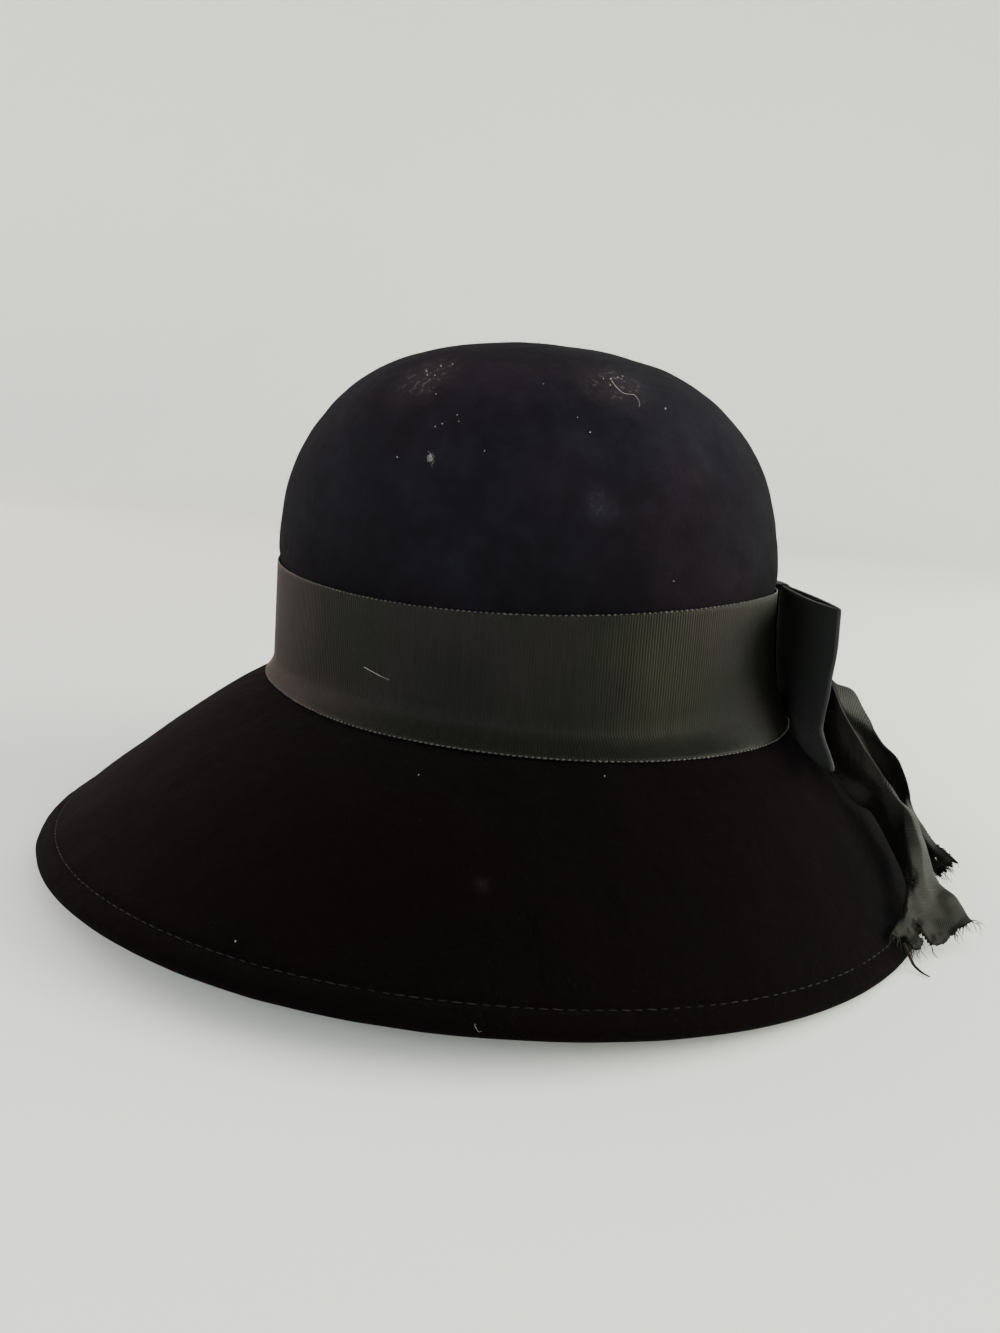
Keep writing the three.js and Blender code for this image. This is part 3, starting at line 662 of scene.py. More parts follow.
def patch_near(tree, place, patch):
    """A soft round patch on the felt or band: its strength at its heart, 0 from its radius out."""
    felt = bpy.context.scene.hat_felt
    heart = in_frame(felt_point(felt, math.radians(patch["angle"]), patch["v"]))
    inputs = {0: place, 1: tuple(heart)}
    far = add(tree, "ShaderNodeVectorMath", inputs, operation="DISTANCE").outputs["Value"]
    return ranged(tree, far, 0.0, patch["radius"], patch["strength"], 0.0)


def maths(tree, a, b, operation="MULTIPLY"):
    return add(tree, "ShaderNodeMath", {0: a, 1: b}, operation=operation).outputs[0]


def mottled(tree, strength, tone, noise):
    """A colour that is darker and lighter with a noise."""
    inputs = {"Value": noise, "From Min": 0.25, "From Max": 0.75, "To Min": 0.55, "To Max": 1.45}
    grey = add(tree, "ShaderNodeMapRange", inputs).outputs[0]
    inputs = {"Red": grey, "Green": grey, "Blue": grey}
    grey = add(tree, "ShaderNodeCombineColor", inputs).outputs[0]
    return mixed(tree, strength, tone, grey, "MULTIPLY")


def finished(material, tree, inputs):
    """The material with one principled shader that has these inputs."""
    shader = add(tree, "ShaderNodeBsdfPrincipled", inputs)
    output = add(tree, "ShaderNodeOutputMaterial")
    tree.links.new(shader.outputs[0], output.inputs["Surface"])
    return material


# ---------- materials ----------
# Dust on the felt, and a painted highlight along a crease of the brim: degrees round, v,
# radius in metres, strength.
DUST_AND_HIGHLIGHT = [
    dict(name="front-left patch", angle=74, v=0.42, radius=0.019, strength=0.85),
    dict(name="back-left patch", angle=134, v=0.42, radius=0.018, strength=0.85),
    dict(name="smudge", angle=123, v=0.80, radius=0.009, strength=0.5, colour=(0.115, 0.125, 0.15)),
    dict(name="brim smudge", angle=110, v=2.56, radius=0.004, strength=0.3),
    # painted highlight: a pale streak along a crease of the brim, in the dust's colour
    dict(name="brim crease", angle=45, v=2.76, radius=0.014, strength=0.22),
]


FIBRE_PALENESS_AND_HIGHLIGHT = 1.2  # loose fibres are this much lighter than the cloth they come from: partly paler fibre, partly a painted highlight where they catch the light
DUST_VEIL = 0.07  # share of plain dust between the grains
WEAR_AND_LIGHT_FROM, WEAR_AND_LIGHT_FULL = 0.01, 0.085  # metres above the break between which the felt grows lighter: partly rubbed wear, partly painted light on the crown


def felt_material():
    felt = bpy.context.scene.hat_felt
    material, tree = new_material("black_wool_felt")
    if tree is None:
        return material
    place = add(tree, "ShaderNodeTexCoord").outputs["Object"]
    height = add(tree, "ShaderNodeSeparateXYZ", {0: place}).outputs["Z"]
    # painted light: the felt is painted lighter from the brim up to the crown, partly rubbed wear
    # and partly the light that falls on the crown
    crown = ranged(tree, height, crown_centre().z + WEAR_AND_LIGHT_FROM, crown_centre().z + WEAR_AND_LIGHT_FULL)
    broad = blotches(tree, place, scale=24.0, detail=3.0, low=0.38, high=0.66)
    clumps = blotches(tree, place, scale=150.0, detail=5.0, low=0.35, high=0.70, roughness=0.6)
    patches = maths(tree, maths(tree, broad, 0.35), maths(tree, clumps, 0.22), "ADD")
    rubbed_and_highlight = maths(tree, crown, maths(tree, patches, 0.48, "ADD"))
    tone = mixed(tree, rubbed_and_highlight, felt.dark, felt.worn)
    purple = blotches(tree, place, scale=13.0, detail=2.0, low=0.42, high=0.62, strength=0.8)
    tone = mixed(tree, purple, tone, (1.30, 0.93, 0.98), "MULTIPLY")
    fibre = noisy(tree, place, scale=2600.0, detail=3.0, roughness=0.7)
    tone = mottled(tree, 0.75, tone, fibre)
    grains = blotches(tree, place, scale=420.0, detail=6.0, low=0.52, high=0.68, roughness=0.75)
    # dust, and the painted highlight on the brim's crease
    for patch in DUST_AND_HIGHLIGHT:
        near = patch_near(tree, place, patch)
        dust = patch.get("colour", felt.dust)
        tone = mixed(tree, maths(tree, near, maths(tree, grains, near)), tone, dust)
        tone = mixed(tree, maths(tree, near, DUST_VEIL), tone, dust)
    relief = maths(tree, fibre, clumps, "ADD")
    nap = add(tree, "ShaderNodeBump", {"Strength": 0.55, "Distance": 0.0004, "Height": relief})
    return finished(material, tree, {
        "Base Color": tone, "Roughness": 0.95, "Specular IOR Level": 0.02, "Normal": nap.outputs[0],
        "Sheen Weight": 0.018, "Sheen Roughness": 0.40, "Sheen Tint": (0.50, 0.46, 0.52, 1),
    })


# Stains and painted light on the band: degrees round, v, radius in metres, colour, strength.
STAINS_AND_PAINTED_LIGHT = [
    # painted highlight: the band's sheen, painted in olive
    dict(
        name="olive sheen", angle=137, v=1.45, radius=0.034, strength=0.85,
        colour=(0.0124, 0.0120, 0.0058),
    ),
    dict(
        name="bruise", angle=129, v=1.55, radius=0.014, strength=0.75,
        colour=(0.0046, 0.0034, 0.0046),
    ),
    # painted reflection: the pink of the warm lamp, painted onto the band
    dict(
        name="pink end", angle=44, v=1.5, radius=0.040, strength=0.5,
        colour=(0.0090, 0.0062, 0.0062),
    ),
    # painted shade: the band is painted darker here, where it lies in shade
    dict(
        name="dull middle", angle=95, v=1.5, radius=0.038, strength=0.6,
        colour=(0.0028, 0.0025, 0.0020),
    ),
]
STREAKS = (900.0, 40.0, 1.0)  # scale of the streaks in the yarn: along the ribbon, across it
WARP_PITCH = 0.00032  # from one warp thread to the next
DARKENED_SHARE = 0.25  # share of the ribbon's colour that is left where it is darkened most
CLEAN_ROUGHNESS, GRIMY_ROUGHNESS = 0.48, 0.95
DULL_FROM, DULL_FULL = 0.15, 0.75  # darkening between which the ribbon grows rough and loses its sheen


def grosgrain_material():
    ribbon = bpy.context.scene.hat_ribbon
    material, tree = new_material("charcoal_grosgrain")
    if tree is None:
        return material
    rib, rubbed_and_highlight, darkening = (
        add(tree, "ShaderNodeAttribute", attribute_name=key).outputs["Fac"]
        for key in ("rib", "rubbed_and_highlight", "darkening")
    )
    place = add(tree, "ShaderNodeTexCoord").outputs["Object"]
    weave = add(tree, "ShaderNodeUVMap", uv_map="ribbon").outputs["UV"]
    faded = blotches(tree, place, scale=26.0, detail=3.0, low=0.42, high=0.64)
    base = mixed(tree, faded, ribbon.base, ribbon.tint)
    # stains, with a painted highlight, a painted pink reflection and painted shade among them
    for band_patch in STAINS_AND_PAINTED_LIGHT:
        base = mixed(tree, patch_near(tree, place, band_patch), base, band_patch["colour"])
    streaks = add(tree, "ShaderNodeMapping", {"Vector": weave, "Scale": STREAKS}).outputs[0]
    base = mottled(tree, 0.6, base, noisy(tree, streaks, scale=1.0, detail=2.0))
    # painted shade: the valleys between the ribs are painted darker
    valley_shade = mixed(tree, ranged(tree, rib, 0.0, 0.75), (0.55, 0.55, 0.55), (1.0, 1.0, 1.0))
    base = mixed(tree, 1.0, base, valley_shade, "MULTIPLY")
    # painted highlight on the folds of the loops and the upper edges of the tails
    base = mixed(tree, rubbed_and_highlight, base, ribbon.rubbed_and_highlight)
    # the ribbon is made darker beside torn edges and holes, a little everywhere, and more near a
    # torn end
    base = mixed(tree, darkening, base, tuple(DARKENED_SHARE * c for c in ribbon.base))
    across = add(tree, "ShaderNodeSeparateXYZ", {0: weave}).outputs["Y"]
    warp = maths(tree, across, 2 * math.pi / WARP_PITCH)
    warp = add(tree, "ShaderNodeMath", {0: warp}, operation="SINE").outputs[0]
    threads = maths(tree, warp, maths(tree, noisy(tree, streaks, scale=3.0), 0.6, "ADD"))
    bump = add(tree, "ShaderNodeBump", {"Strength": 0.35, "Distance": 0.00006, "Height": threads})
    dull = ranged(tree, darkening, DULL_FROM, DULL_FULL, CLEAN_ROUGHNESS, GRIMY_ROUGHNESS)
    return finished(material, tree, {
        "Base Color": base, "Roughness": dull, "Specular IOR Level": 0.10,
        "Normal": bump.outputs[0], "Sheen Weight": 0.012, "Sheen Roughness": 0.35,
        "Sheen Tint": (0.9, 0.85, 0.75, 1),
    })


def thread_material(name, tone, roughness, sheen=0.15):
    """Thread or hair of one colour, a little lighter and darker along it."""
    material, tree = new_material(name)
    if tree is None:
        return material
    place = add(tree, "ShaderNodeTexCoord").outputs["Object"]
    varied = mottled(tree, 0.8, tone, noisy(tree, place, scale=900.0, detail=3.0))
    return finished(material, tree, {
        "Base Color": varied, "Roughness": roughness, "Specular IOR Level": 2 * sheen,
        "Sheen Weight": sheen,
    })


def plain_material(name, tone):
    material, tree = new_material(name)
    if tree is None:
        return material
    inputs = {"Base Color": rgba(tone), "Roughness": 0.9, "Specular IOR Level": 0.1}
    return finished(material, tree, inputs)


# ---------- geometry nodes ----------
def node_tree(name, sockets):
    """A geometry tree with a Geometry input, the named inputs and a Geometry output."""
    tree = bpy.data.node_groups.new(name, "GeometryNodeTree")
    tree.interface.new_socket(name="Geometry", in_out="INPUT", socket_type="NodeSocketGeometry")
    for socket, kind, default in sockets:
        item = tree.interface.new_socket(name=socket, in_out="INPUT", socket_type=kind)
        item.default_value = default
    tree.interface.new_socket(name="Geometry", in_out="OUTPUT", socket_type="NodeSocketGeometry")
    return tree, add(tree, "NodeGroupInput"), add(tree, "NodeGroupOutput")


def random_value(tree, low, high, seed, vector=False):
    """A random number, or three, for each point or instance."""
    first = 0 if vector else 2
    inputs = {first: low, first + 1: high, "Seed": seed}
    kind = "FLOAT_VECTOR" if vector else "FLOAT"
    node = add(tree, "FunctionNodeRandomValue", inputs, data_type=kind)
    return node.outputs[0 if vector else 1]


def end_tree(tree, output, spots, instance, swing, scale, material):
    """Sets an instance on each spot, turned by the swing, and ends the tree with plain mesh."""
    inputs = {"Rotation": spots.outputs["Rotation"], "Rotate By": swing}
    turned = add(tree, "FunctionNodeRotateRotation", inputs, rotation_space="LOCAL")
    inputs = {
        "Points": spots.outputs["Points"], "Instance": instance, "Scale": scale,
        "Rotation": turned.outputs[0],
    }
    placed = add(tree, "GeometryNodeInstanceOnPoints", inputs)
    real = add(tree, "GeometryNodeRealizeInstances", {"Geometry": placed.outputs[0]})
    soft = add(
        tree, "GeometryNodeSetShadeSmooth", {"Geometry": real.outputs[0], "Shade Smooth": True}
    )
    inputs = {"Geometry": soft.outputs[0], "Material": material}
    paint = add(tree, "GeometryNodeSetMaterial", inputs)
    tree.links.new(paint.outputs[0], output.inputs[0])


def run_tree(source, tree, values, name):
    """Runs the tree on the source object and keeps what it makes as a plain mesh piece."""
    modifier = source.modifiers.new("made", "NODES")
    modifier.node_group = tree
    for item in tree.interface.items_tree:
        if item.in_out == "INPUT" and item.name in values:
            modifier[item.identifier] = values[item.name]
    graph = bpy.context.evaluated_depsgraph_get()
    mesh = bpy.data.meshes.new_from_object(source.evaluated_get(graph), depsgraph=graph)
    source.modifiers.remove(modifier)
    mesh.name = name
    return attach(linked(name, mesh), ())


THREAD_LENGTHS = 0.8, 1.12  # random lengths of the turns in a row, as shares of the whole
HAIR_LENGTHS = 0.35, 1.0  # and those of the loose hairs
HAIR_TILT = (0.7, 0.7, 3.1)  # radians that a hair leans and turns either way


def row_tree(material):
    """Short turns of thread set end to end along a path."""
    tree, given, output = node_tree(
        "hat_thread_row",
        [
            ("Spacing", "NodeSocketFloat", 0.0037),
            ("Length", "NodeSocketFloat", 0.0027),
            ("Radius", "NodeSocketFloat", 0.0003),
            ("Wander", "NodeSocketFloat", 0.08),
            ("Seed", "NodeSocketInt", 1),
        ],
    )
    curve = add(tree, "GeometryNodeMeshToCurve", {"Mesh": given.outputs["Geometry"]})
    spots = add(tree, "GeometryNodeCurveToPoints", {"Curve": curve.outputs[0]}, mode="LENGTH")
    tree.links.new(given.outputs["Spacing"], spots.inputs["Length"])
    turn = add(tree, "GeometryNodeMeshIcoSphere", {"Radius": 1.0, "Subdivisions": 2})
    girth, wander, seed = (given.outputs[key] for key in ("Radius", "Wander", "Seed"))
    inputs = {"X": girth, "Y": girth, "Z": maths(tree, given.outputs["Length"], 0.5)}
    size = add(tree, "ShaderNodeCombineXYZ", inputs).outputs[0]
    turn = add(tree, "GeometryNodeTransform", {"Geometry": turn.outputs[0], "Scale": size})
    swing = random_value(tree, maths(tree, wander, -1.0), wander, seed, vector=True)
    scale = random_value(tree, *THREAD_LENGTHS, seed)
    end_tree(tree, output, spots, turn.outputs[0], swing, scale, material)
    return tree


def nap_tree(material):
    """Loose bent hairs scattered over the faces that carry the attribute outside."""
    tree, given, output = node_tree(
        "hat_loose_nap",
        [
            ("Density", "NodeSocketFloat", 60000.0),
            ("Length", "NodeSocketFloat", 0.0013),
            ("Radius", "NodeSocketFloat", 0.00004),
            ("Seed", "NodeSocketInt", 1),
        ],
    )
    outside = add(
        tree, "GeometryNodeInputNamedAttribute", {"Name": "outside"}, data_type="FLOAT"
    )
    girth, hair_length, seed = (given.outputs[key] for key in ("Radius", "Length", "Seed"))
    dense = maths(tree, given.outputs["Density"], outside.outputs[0])
    spots = add(
        tree, "GeometryNodeDistributePointsOnFaces",
        {"Mesh": given.outputs["Geometry"], "Density": dense, "Seed": seed},
    )
    line = add(
        tree, "GeometryNodeCurveQuadraticBezier",
        {"Resolution": 3, "Start": (0, 0, 0), "Middle": (0.05, 0, 0.6), "End": (0.55, 0.1, 0.85)},
    )
    inputs = {"Resolution": 3, "Radius": maths(tree, girth, hair_length, "DIVIDE")}
    profile = add(tree, "GeometryNodeCurvePrimitiveCircle", inputs)
    hair = add(
        tree, "GeometryNodeCurveToMesh",
        {"Curve": line.outputs[0], "Profile Curve": profile.outputs[0], "Fill Caps": True},
    )
    tilt = random_value(tree, tuple(-t for t in HAIR_TILT), HAIR_TILT, seed, vector=True)
    size = maths(tree, random_value(tree, *HAIR_LENGTHS, seed), hair_length)
    end_tree(tree, output, spots, hair.outputs[0], tilt, size, material)
    return tree


def thread_row(name, points, spacing, reach, radius, wander, seed, material):
    """A piece of short turns of thread along a closed line, which is not kept itself."""
    count = len(points)
    mesh = bpy.data.meshes.new(name + "_path")
    edges = [(i, (i + 1) % count) for i in range(count)]
    mesh.from_pydata(in_frame(points).tolist(), edges, [])
    path = linked(name + "_path", mesh)
    values = {"Spacing": spacing, "Length": reach, "Radius": radius, "Wander": wander, "Seed": seed}
    run_tree(path, row_tree(material), values, name)
    bpy.data.objects.remove(path)


# ---------- felt pieces ----------
FELT_TURNS = 324  # columns round the hat
CROWN_ROWS = 96
HIDDEN_ROWS = [0.992, 1, 1.2, 1.5, 1.8, 1.9, 1.96, 2]  # v of the rows under the band
BRIM_ROWS = 66
NEAR_HEM_ROWS = 26
EDGE_ROWS = 9  # round the folded edge
HEM_ROWS = 6
INNER_BRIM_ROWS = 14
INNER_WALL_ROWS = [1.98, 1.8, 1.4, 1]  # v of the rows inside the crown, behind the band
DOME_ROWS = 26
RAW_EDGE = 0.0004  # the raw edge of the hem lies this much closer to the brim
GROOVE = 1.1 * MM  # half the width of the groove that the stitches draw
SWELL, SWELL_INSET, SWELL_SPREAD = 0.25 * MM, 3.4 * MM, 2.4 * MM  # fullness outside that groove
UNDER_STITCH = 0.1 * MM  # the stitches underneath stand this far below the hem
STITCH_PROUD = 0.7  # share of its radius that a stitch on top stands out of its groove
STITCH_POINTS = 720  # along a row of stitches
COARSE_LUMPS = dict(scale=0.035, seed=5)  # soft unevenness, about this many metres across
FINE_LUMPS = dict(scale=0.012, seed=8)  # half as high
BALD_POLE = 6  # rows at the apex without hairs
BALD_BAND = 0.97, 2.02  # v between which there are none
WELD = 1e-7  # vertices closer than this are merged
RIM_WAVE = [(3, 0.35, 0.4), (5, 0.25, 2.1), (8, 0.14, 4.4)]  # waves round, millimetres, phase


def felt_rows(felt):
    """v, down and out of every row of the felt's section, and how many rows are outside."""
    edge_v = 3 - felt.hem_thickness / 2 / BRIM_SPAN
    hem_v = 3 - felt.hem_depth / BRIM_SPAN
    stitch_v = 3 - felt.stitch_inset / BRIM_SPAN
    crown = np.linspace(0, 0.985, CROWN_ROWS)
    brim = np.linspace(2.01, hem_v - 0.06, BRIM_ROWS)
    near_hem = np.linspace(hem_v - 0.045, edge_v - 0.004, NEAR_HEM_ROWS)
    outside = np.concatenate([crown, HIDDEN_ROWS, brim, near_hem])
    turns = np.radians(np.linspace(0, 180, EDGE_ROWS))
    half = felt.hem_thickness / 2
    hem = np.linspace(edge_v - 0.02, hem_v + 0.004, HEM_ROWS)
    inner_brim = np.linspace(hem_v - 0.05, 2.02, INNER_BRIM_ROWS)
    dome = np.linspace(0.97, 0, DOME_ROWS)
    inside = np.concatenate([[hem_v - 0.004], inner_brim, INNER_WALL_ROWS, dome])
    v = np.concatenate([outside, np.full(EDGE_ROWS, edge_v), hem, [hem_v], inside])
    down = np.concatenate(
        [
            np.zeros(len(outside)), half * (1 - np.cos(turns)), np.full(HEM_ROWS, 2 * half),
            [2 * half - RAW_EDGE], np.full(len(inside), felt.thickness),
        ]
    )
    out = np.concatenate(
        [np.zeros(len(outside)), half * np.sin(turns), np.zeros(HEM_ROWS + 1 + len(inside))]
    )
    sink = felt.stitch_sink * np.exp(-(((v - stitch_v) * BRIM_SPAN / GROOVE) ** 2))
    swell = SWELL * np.exp(-(((v - 3) * BRIM_SPAN + SWELL_INSET) / SWELL_SPREAD) ** 2)
    shown = np.arange(len(v)) < len(outside)
    down = down + np.where(shown, sink - swell, 0)
    return v, down, out, len(outside)


def hem_path(felt, angles, under=False):
    """The stitch line on the top of the brim, or on its underside."""
    v = 3 - felt.stitch_inset / BRIM_SPAN
    depth = felt.stitch_sink - felt.stitch_radius * STITCH_PROUD
    if under:
        depth = felt.hem_thickness + UNDER_STITCH
    return felt_place(felt, angles, v, depth) + brim_wave(angles, v)


def brim_wave(angles, v):
    """Slight waves of the brim's edge, growing outward."""
    lift = sum(size * MM * np.sin(count * angles + phase) for count, size, phase in RIM_WAVE)
    grown = np.clip(np.asarray(v) - 2, 0, 1) ** 2
    floor_free = 0.5 - 0.5 * np.cos(2 * angles)
    return np.stack([0 * lift, 0 * lift, lift * grown * floor_free], -1)


class HAT_OT_felt(bpy.types.Operator):
    """Builds the crown and brim as one hollow body of felt with a turned-under hem"""

    bl_idname = "hat.felt"
    bl_label = "Felt Crown and Brim"

    def execute(self, context):
        felt = context.scene.hat_felt
        v, down, out, shown = felt_rows(felt)
        grid = np.meshgrid(whole_turn(FELT_TURNS), v, indexing="ij")
        points = felt_place(felt, grid[0], grid[1], down[None, :], out[None, :])
        points += brim_wave(grid[0], grid[1])
        normal, _ = felt_axes(felt, grid[0], grid[1])
        lumps = unevenness(points, **COARSE_LUMPS) + 0.5 * unevenness(points, **FINE_LUMPS)
        points += normal * (lumps * felt.ripple)[..., None]
        points[..., 2] = np.maximum(points[..., 2], FELT_LOW.z - crown_centre().z)
        faces = grid_quads(FELT_TURNS, len(v), closed=True)
        piece = new_piece(
            "felt_hat_body", points.reshape(-1, 3), faces, felt_material(),
            ["felt_crown", "felt_brim"],
        )
        outside = np.zeros((FELT_TURNS, len(v)))
        outside[:, BALD_POLE:shown] = 1
        outside[:, (v > BALD_BAND[0]) & (v < BALD_BAND[1])] = 0
        mark(piece, "outside", outside)
        weld(piece, WELD)
        return {"FINISHED"}


class HAT_OT_hem_stitches(bpy.types.Operator):
    """Sews the hem: a row of stitches on the top of the brim and one underneath"""

    bl_idname = "hat.hem_stitches"
    bl_label = "Hem Stitches"

    def execute(self, context):
        felt = context.scene.hat_felt
        thread = thread_material("hem_thread", felt.thread, roughness=0.6, sheen=0.05)
        angles = whole_turn(STITCH_POINTS)
        for name, under in (("hem_stitches_top", False), ("hem_stitches_under", True)):
            thread_row(
                name, hem_path(felt, angles, under), felt.stitch_pitch, felt.stitch_length,
                felt.stitch_radius, wander=0.07, seed=3, material=thread,
            )
        return {"FINISHED"}


class HAT_OT_nap(bpy.types.Operator):
    """Scatters loose hairs over the outside of the felt"""

    bl_idname = "hat.nap"
    bl_label = "Loose Nap"

    def execute(self, context):
        felt = context.scene.hat_felt
        body = bpy.data.objects["felt_hat_body"]
        tone = tuple(FIBRE_PALENESS_AND_HIGHLIGHT * c for c in felt.worn)
        hair = thread_material("nap_hair", tone, roughness=0.9, sheen=0.02)
        values = {
            "Density": felt.nap_density, "Length": felt.nap_length,
            "Radius": felt.nap_radius, "Seed": felt.seed,
        }
        run_tree(body, nap_tree(hair), values, "loose_nap")
        return {"FINISHED"}


# ---------- ribbon pieces ----------
# v of the band's rows, from its upper edge down.
BAND_HEIGHTS = [1, 1.012, 1.04, 1.3, 1.55, 1.72, 1.8, 1.84, 1.87, 1.9, 1.93, 1.96, 1.982, 1.993]
BAND_MIDDLE = 1.5  # v of the line along which its length is taken
SAMPLES_PER_RIB = 4
PICOT_POINTS = 1440  # along an edge of the band
PICOT_SHARE = 0.62  # length of a picot, as a share of its pitch
PICOT_OUT = 0.15 * MM  # the picots stand this far outside the band's middle surface
PICOT_WANDER = 0.25  # radians either way


def ribbed(walk, fine, ribbon):
    """Arc lengths of the stations of a closed ribbon of whole ribs, and their parameters.

    walk is the arc length at each of the fine parameters."""
    ribs = round(walk[-1] / ribbon.rib_pitch)
    along = np.arange(ribs * SAMPLES_PER_RIB) * ribbon.rib_pitch / SAMPLES_PER_RIB
    return along, np.interp(along * walk[-1] / (ribs * ribbon.rib_pitch), walk, fine)


class HAT_OT_band(bpy.types.Operator):
    """Wraps the ribbon band round the crown and sets the turns of thread along its edges"""

    bl_idname = "hat.band"
    bl_label = "Ribbon Band"

    def execute(self, context):
        felt, ribbon = context.scene.hat_felt, context.scene.hat_ribbon
        fine = np.linspace(0, 2 * math.pi, 4001)
        lift = -(GAP + BAND_THICKNESS / 2) * MM
        walk = arc_length(felt_place(felt, fine, BAND_MIDDLE, lift))
        along, angles = ribbed(walk, fine, ribbon)
        grid = np.meshgrid(angles, np.array(BAND_HEIGHTS), indexing="ij")
        middle = felt_place(felt, grid[0], grid[1], lift)
        across = arc_length(middle[0])
        band = ribbon_piece("ribbon_band", middle, along, across, closed=True, nodes=["band"])
        edge = thread_material("ribbon_edge_thread", ribbon.edge, roughness=0.45)
        edges = [
            ("band_upper_picots", BAND_HEIGHTS[0], 5), ("band_lower_picots", BAND_HEIGHTS[-1], 6)
        ]
        for name, level, seed in edges:
            line = felt_place(felt, whole_turn(PICOT_POINTS), level, lift - PICOT_OUT)
            thread_row(
                name, line, ribbon.picot_pitch, ribbon.picot_pitch * PICOT_SHARE,
                ribbon.picot_radius, PICOT_WANDER, seed, edge,
            )
        return {"FINISHED"}


def bow_frame(felt):
    """Seat of the knot on the band, outward direction and direction towards the wearer's left."""
    seat = felt_point(felt, BOW_ANGLE, BOW_SEAT_V)
    out = unit(felt_axes(felt, BOW_ANGLE, BOW_SEAT_V)[0] * (1, 1, 0))
    return seat, out, np.array([out[1], -out[0], 0])


def lip_at_bow(felt, along, height):
    """How far the flared lip of the band pushes the bow off at a height, in millimetres."""
    rise = lip_rise(BOW_ANGLE - along * MM / felt.half_length) / MM
    return LIP_FLARE_BACK / MM * np.clip(1 - (height - LIP_CLEARANCE) / rise, 0, 1) ** 2


def bow_point(felt, along, out, height):
    """A place at the bow, in metres, from millimetres along the band, off it and up."""
    seat, outward, tangent = bow_frame(felt)
    along, out, height = (np.asarray(x, float) for x in np.broadcast_arrays(along, out, height))
    lift = (GAP + BAND_THICKNESS + out + lip_at_bow(felt, along, height)) * MM
    point = seat + tangent * (along * MM)[..., None] + outward * lift[..., None]
    point[..., 2] = height * MM
    return point


def eased(table, level, column):
    """A column of a table of rows (level, ...) read with smooth steps between the rows."""
    rows = np.array(table, float)
    level = np.asarray(level, float)
    i = np.clip(np.searchsorted(rows[:, 0], level, side="right") - 1, 0, len(rows) - 2)
    t = np.clip((level - rows[i, 0]) / (rows[i + 1, 0] - rows[i, 0]), 0, 1)
    return rows[i, column] + (rows[i + 1, column] - rows[i, column]) * smooth(t)


def loop_surface(felt, loop, turn, level):
    """Middle surface of a flattened loop of ribbon standing on edge."""
    side = loop["side"]
    root = bow_point(felt, side * (KNOT_WIDTH / 2 + GAP), loop["base"], KNOT_TOP)
    heading = math.radians(loop["heading"])
    ahead = np.array([math.cos(heading), math.sin(heading), 0])
    to_crown = np.array([ahead[1], -ahead[0], 0]) * side
    outward = bow_frame(felt)[1]
    along = (1 - np.cos(turn)) / 2
    reach = eased(loop["levels"], level, 1)
    swell = eased(loop["levels"], level, 2) * np.maximum(0, np.sin(turn))
    half = eased(loop["levels"], level, 3)
    bend = half * np.sin(turn) + swell * np.sin(math.pi * along * along)
    bottom = loop["bottom_root"] + (loop["bottom_fold"] - loop["bottom_root"]) * along * along
    bottom = bottom - loop["dip"] * np.sin(math.pi * along**4)
    top = loop["top_root"] + (loop["top_fold"] - loop["top_root"]) * along
    forward = GAP + BAND_THICKNESS / 2 + reach * along - INTO_KNOT * (1 - along)
    lean = loop["lean_root"] + (loop["lean_fold"] - loop["lean_root"]) * along * along
    lean = lean * (1 - level) ** 2
    point = root + MM * (
        ahead * forward[..., None] + to_crown * bend[..., None] + outward * lean[..., None]
    )
    point[..., 2] = (bottom + (top - bottom) * level) * MM
    return point


# Shares of a loop's height at which it has a row, close together at its edges.
LOOP_ROWS = np.concatenate([[0, 0.008, 0.03], np.linspace(0.08, 0.92, 16), [0.97, 0.992, 1]])
LOOP_PICOT_SHARE = 0.6  # its picots are a little shorter and thinner than those of the band
LOOP_PICOT_GIRTH = 0.9
FOLD_HIGHLIGHT_REACH = 1.5  # exponent: how closely the painted highlight keeps to the fold


class HAT_OT_loops(bpy.types.Operator):
    """Folds the two flat loops of the bow"""

    bl_idname = "hat.loops"
    bl_label = "Bow Loops"

    def execute(self, context):
        felt, ribbon = context.scene.hat_felt, context.scene.hat_ribbon
        edge = thread_material("ribbon_edge_thread", ribbon.edge, roughness=0.45)
        for name, loop in LOOPS.items():
            fine = np.linspace(0, 2 * math.pi, 2001)
            walk = arc_length(loop_surface(felt, loop, fine, 0.5))
            along, turn = ribbed(walk, fine, ribbon)
            grid = np.meshgrid(turn, LOOP_ROWS, indexing="ij")
            middle = loop_surface(felt, loop, grid[0], grid[1])
            if loop["side"] < 0:
                middle = middle[:, ::-1]
            across = arc_length(middle[len(turn) // 3])
            # painted highlight: each loop is painted paler towards its fold
            fold = ((1 - np.cos(turn)) / 2) ** FOLD_HIGHLIGHT_REACH
            rubbed_and_highlight = np.repeat(loop["rubbed_and_highlight"] * fold[:, None], len(LOOP_ROWS), 1)
            piece = ribbon_piece(
                "bow_" + name, middle, along, across, closed=True, nodes=[name], rubbed_and_highlight=rubbed_and_highlight
            )
            top = loop_surface(felt, loop, fine[::4], 1.0)[:-1]
            thread_row(
                "bow_" + name + "_picots", top, ribbon.picot_pitch,
                ribbon.picot_pitch * LOOP_PICOT_SHARE, ribbon.picot_radius * LOOP_PICOT_GIRTH,
                PICOT_WANDER, 9, edge,
            )
        return {"FINISHED"}


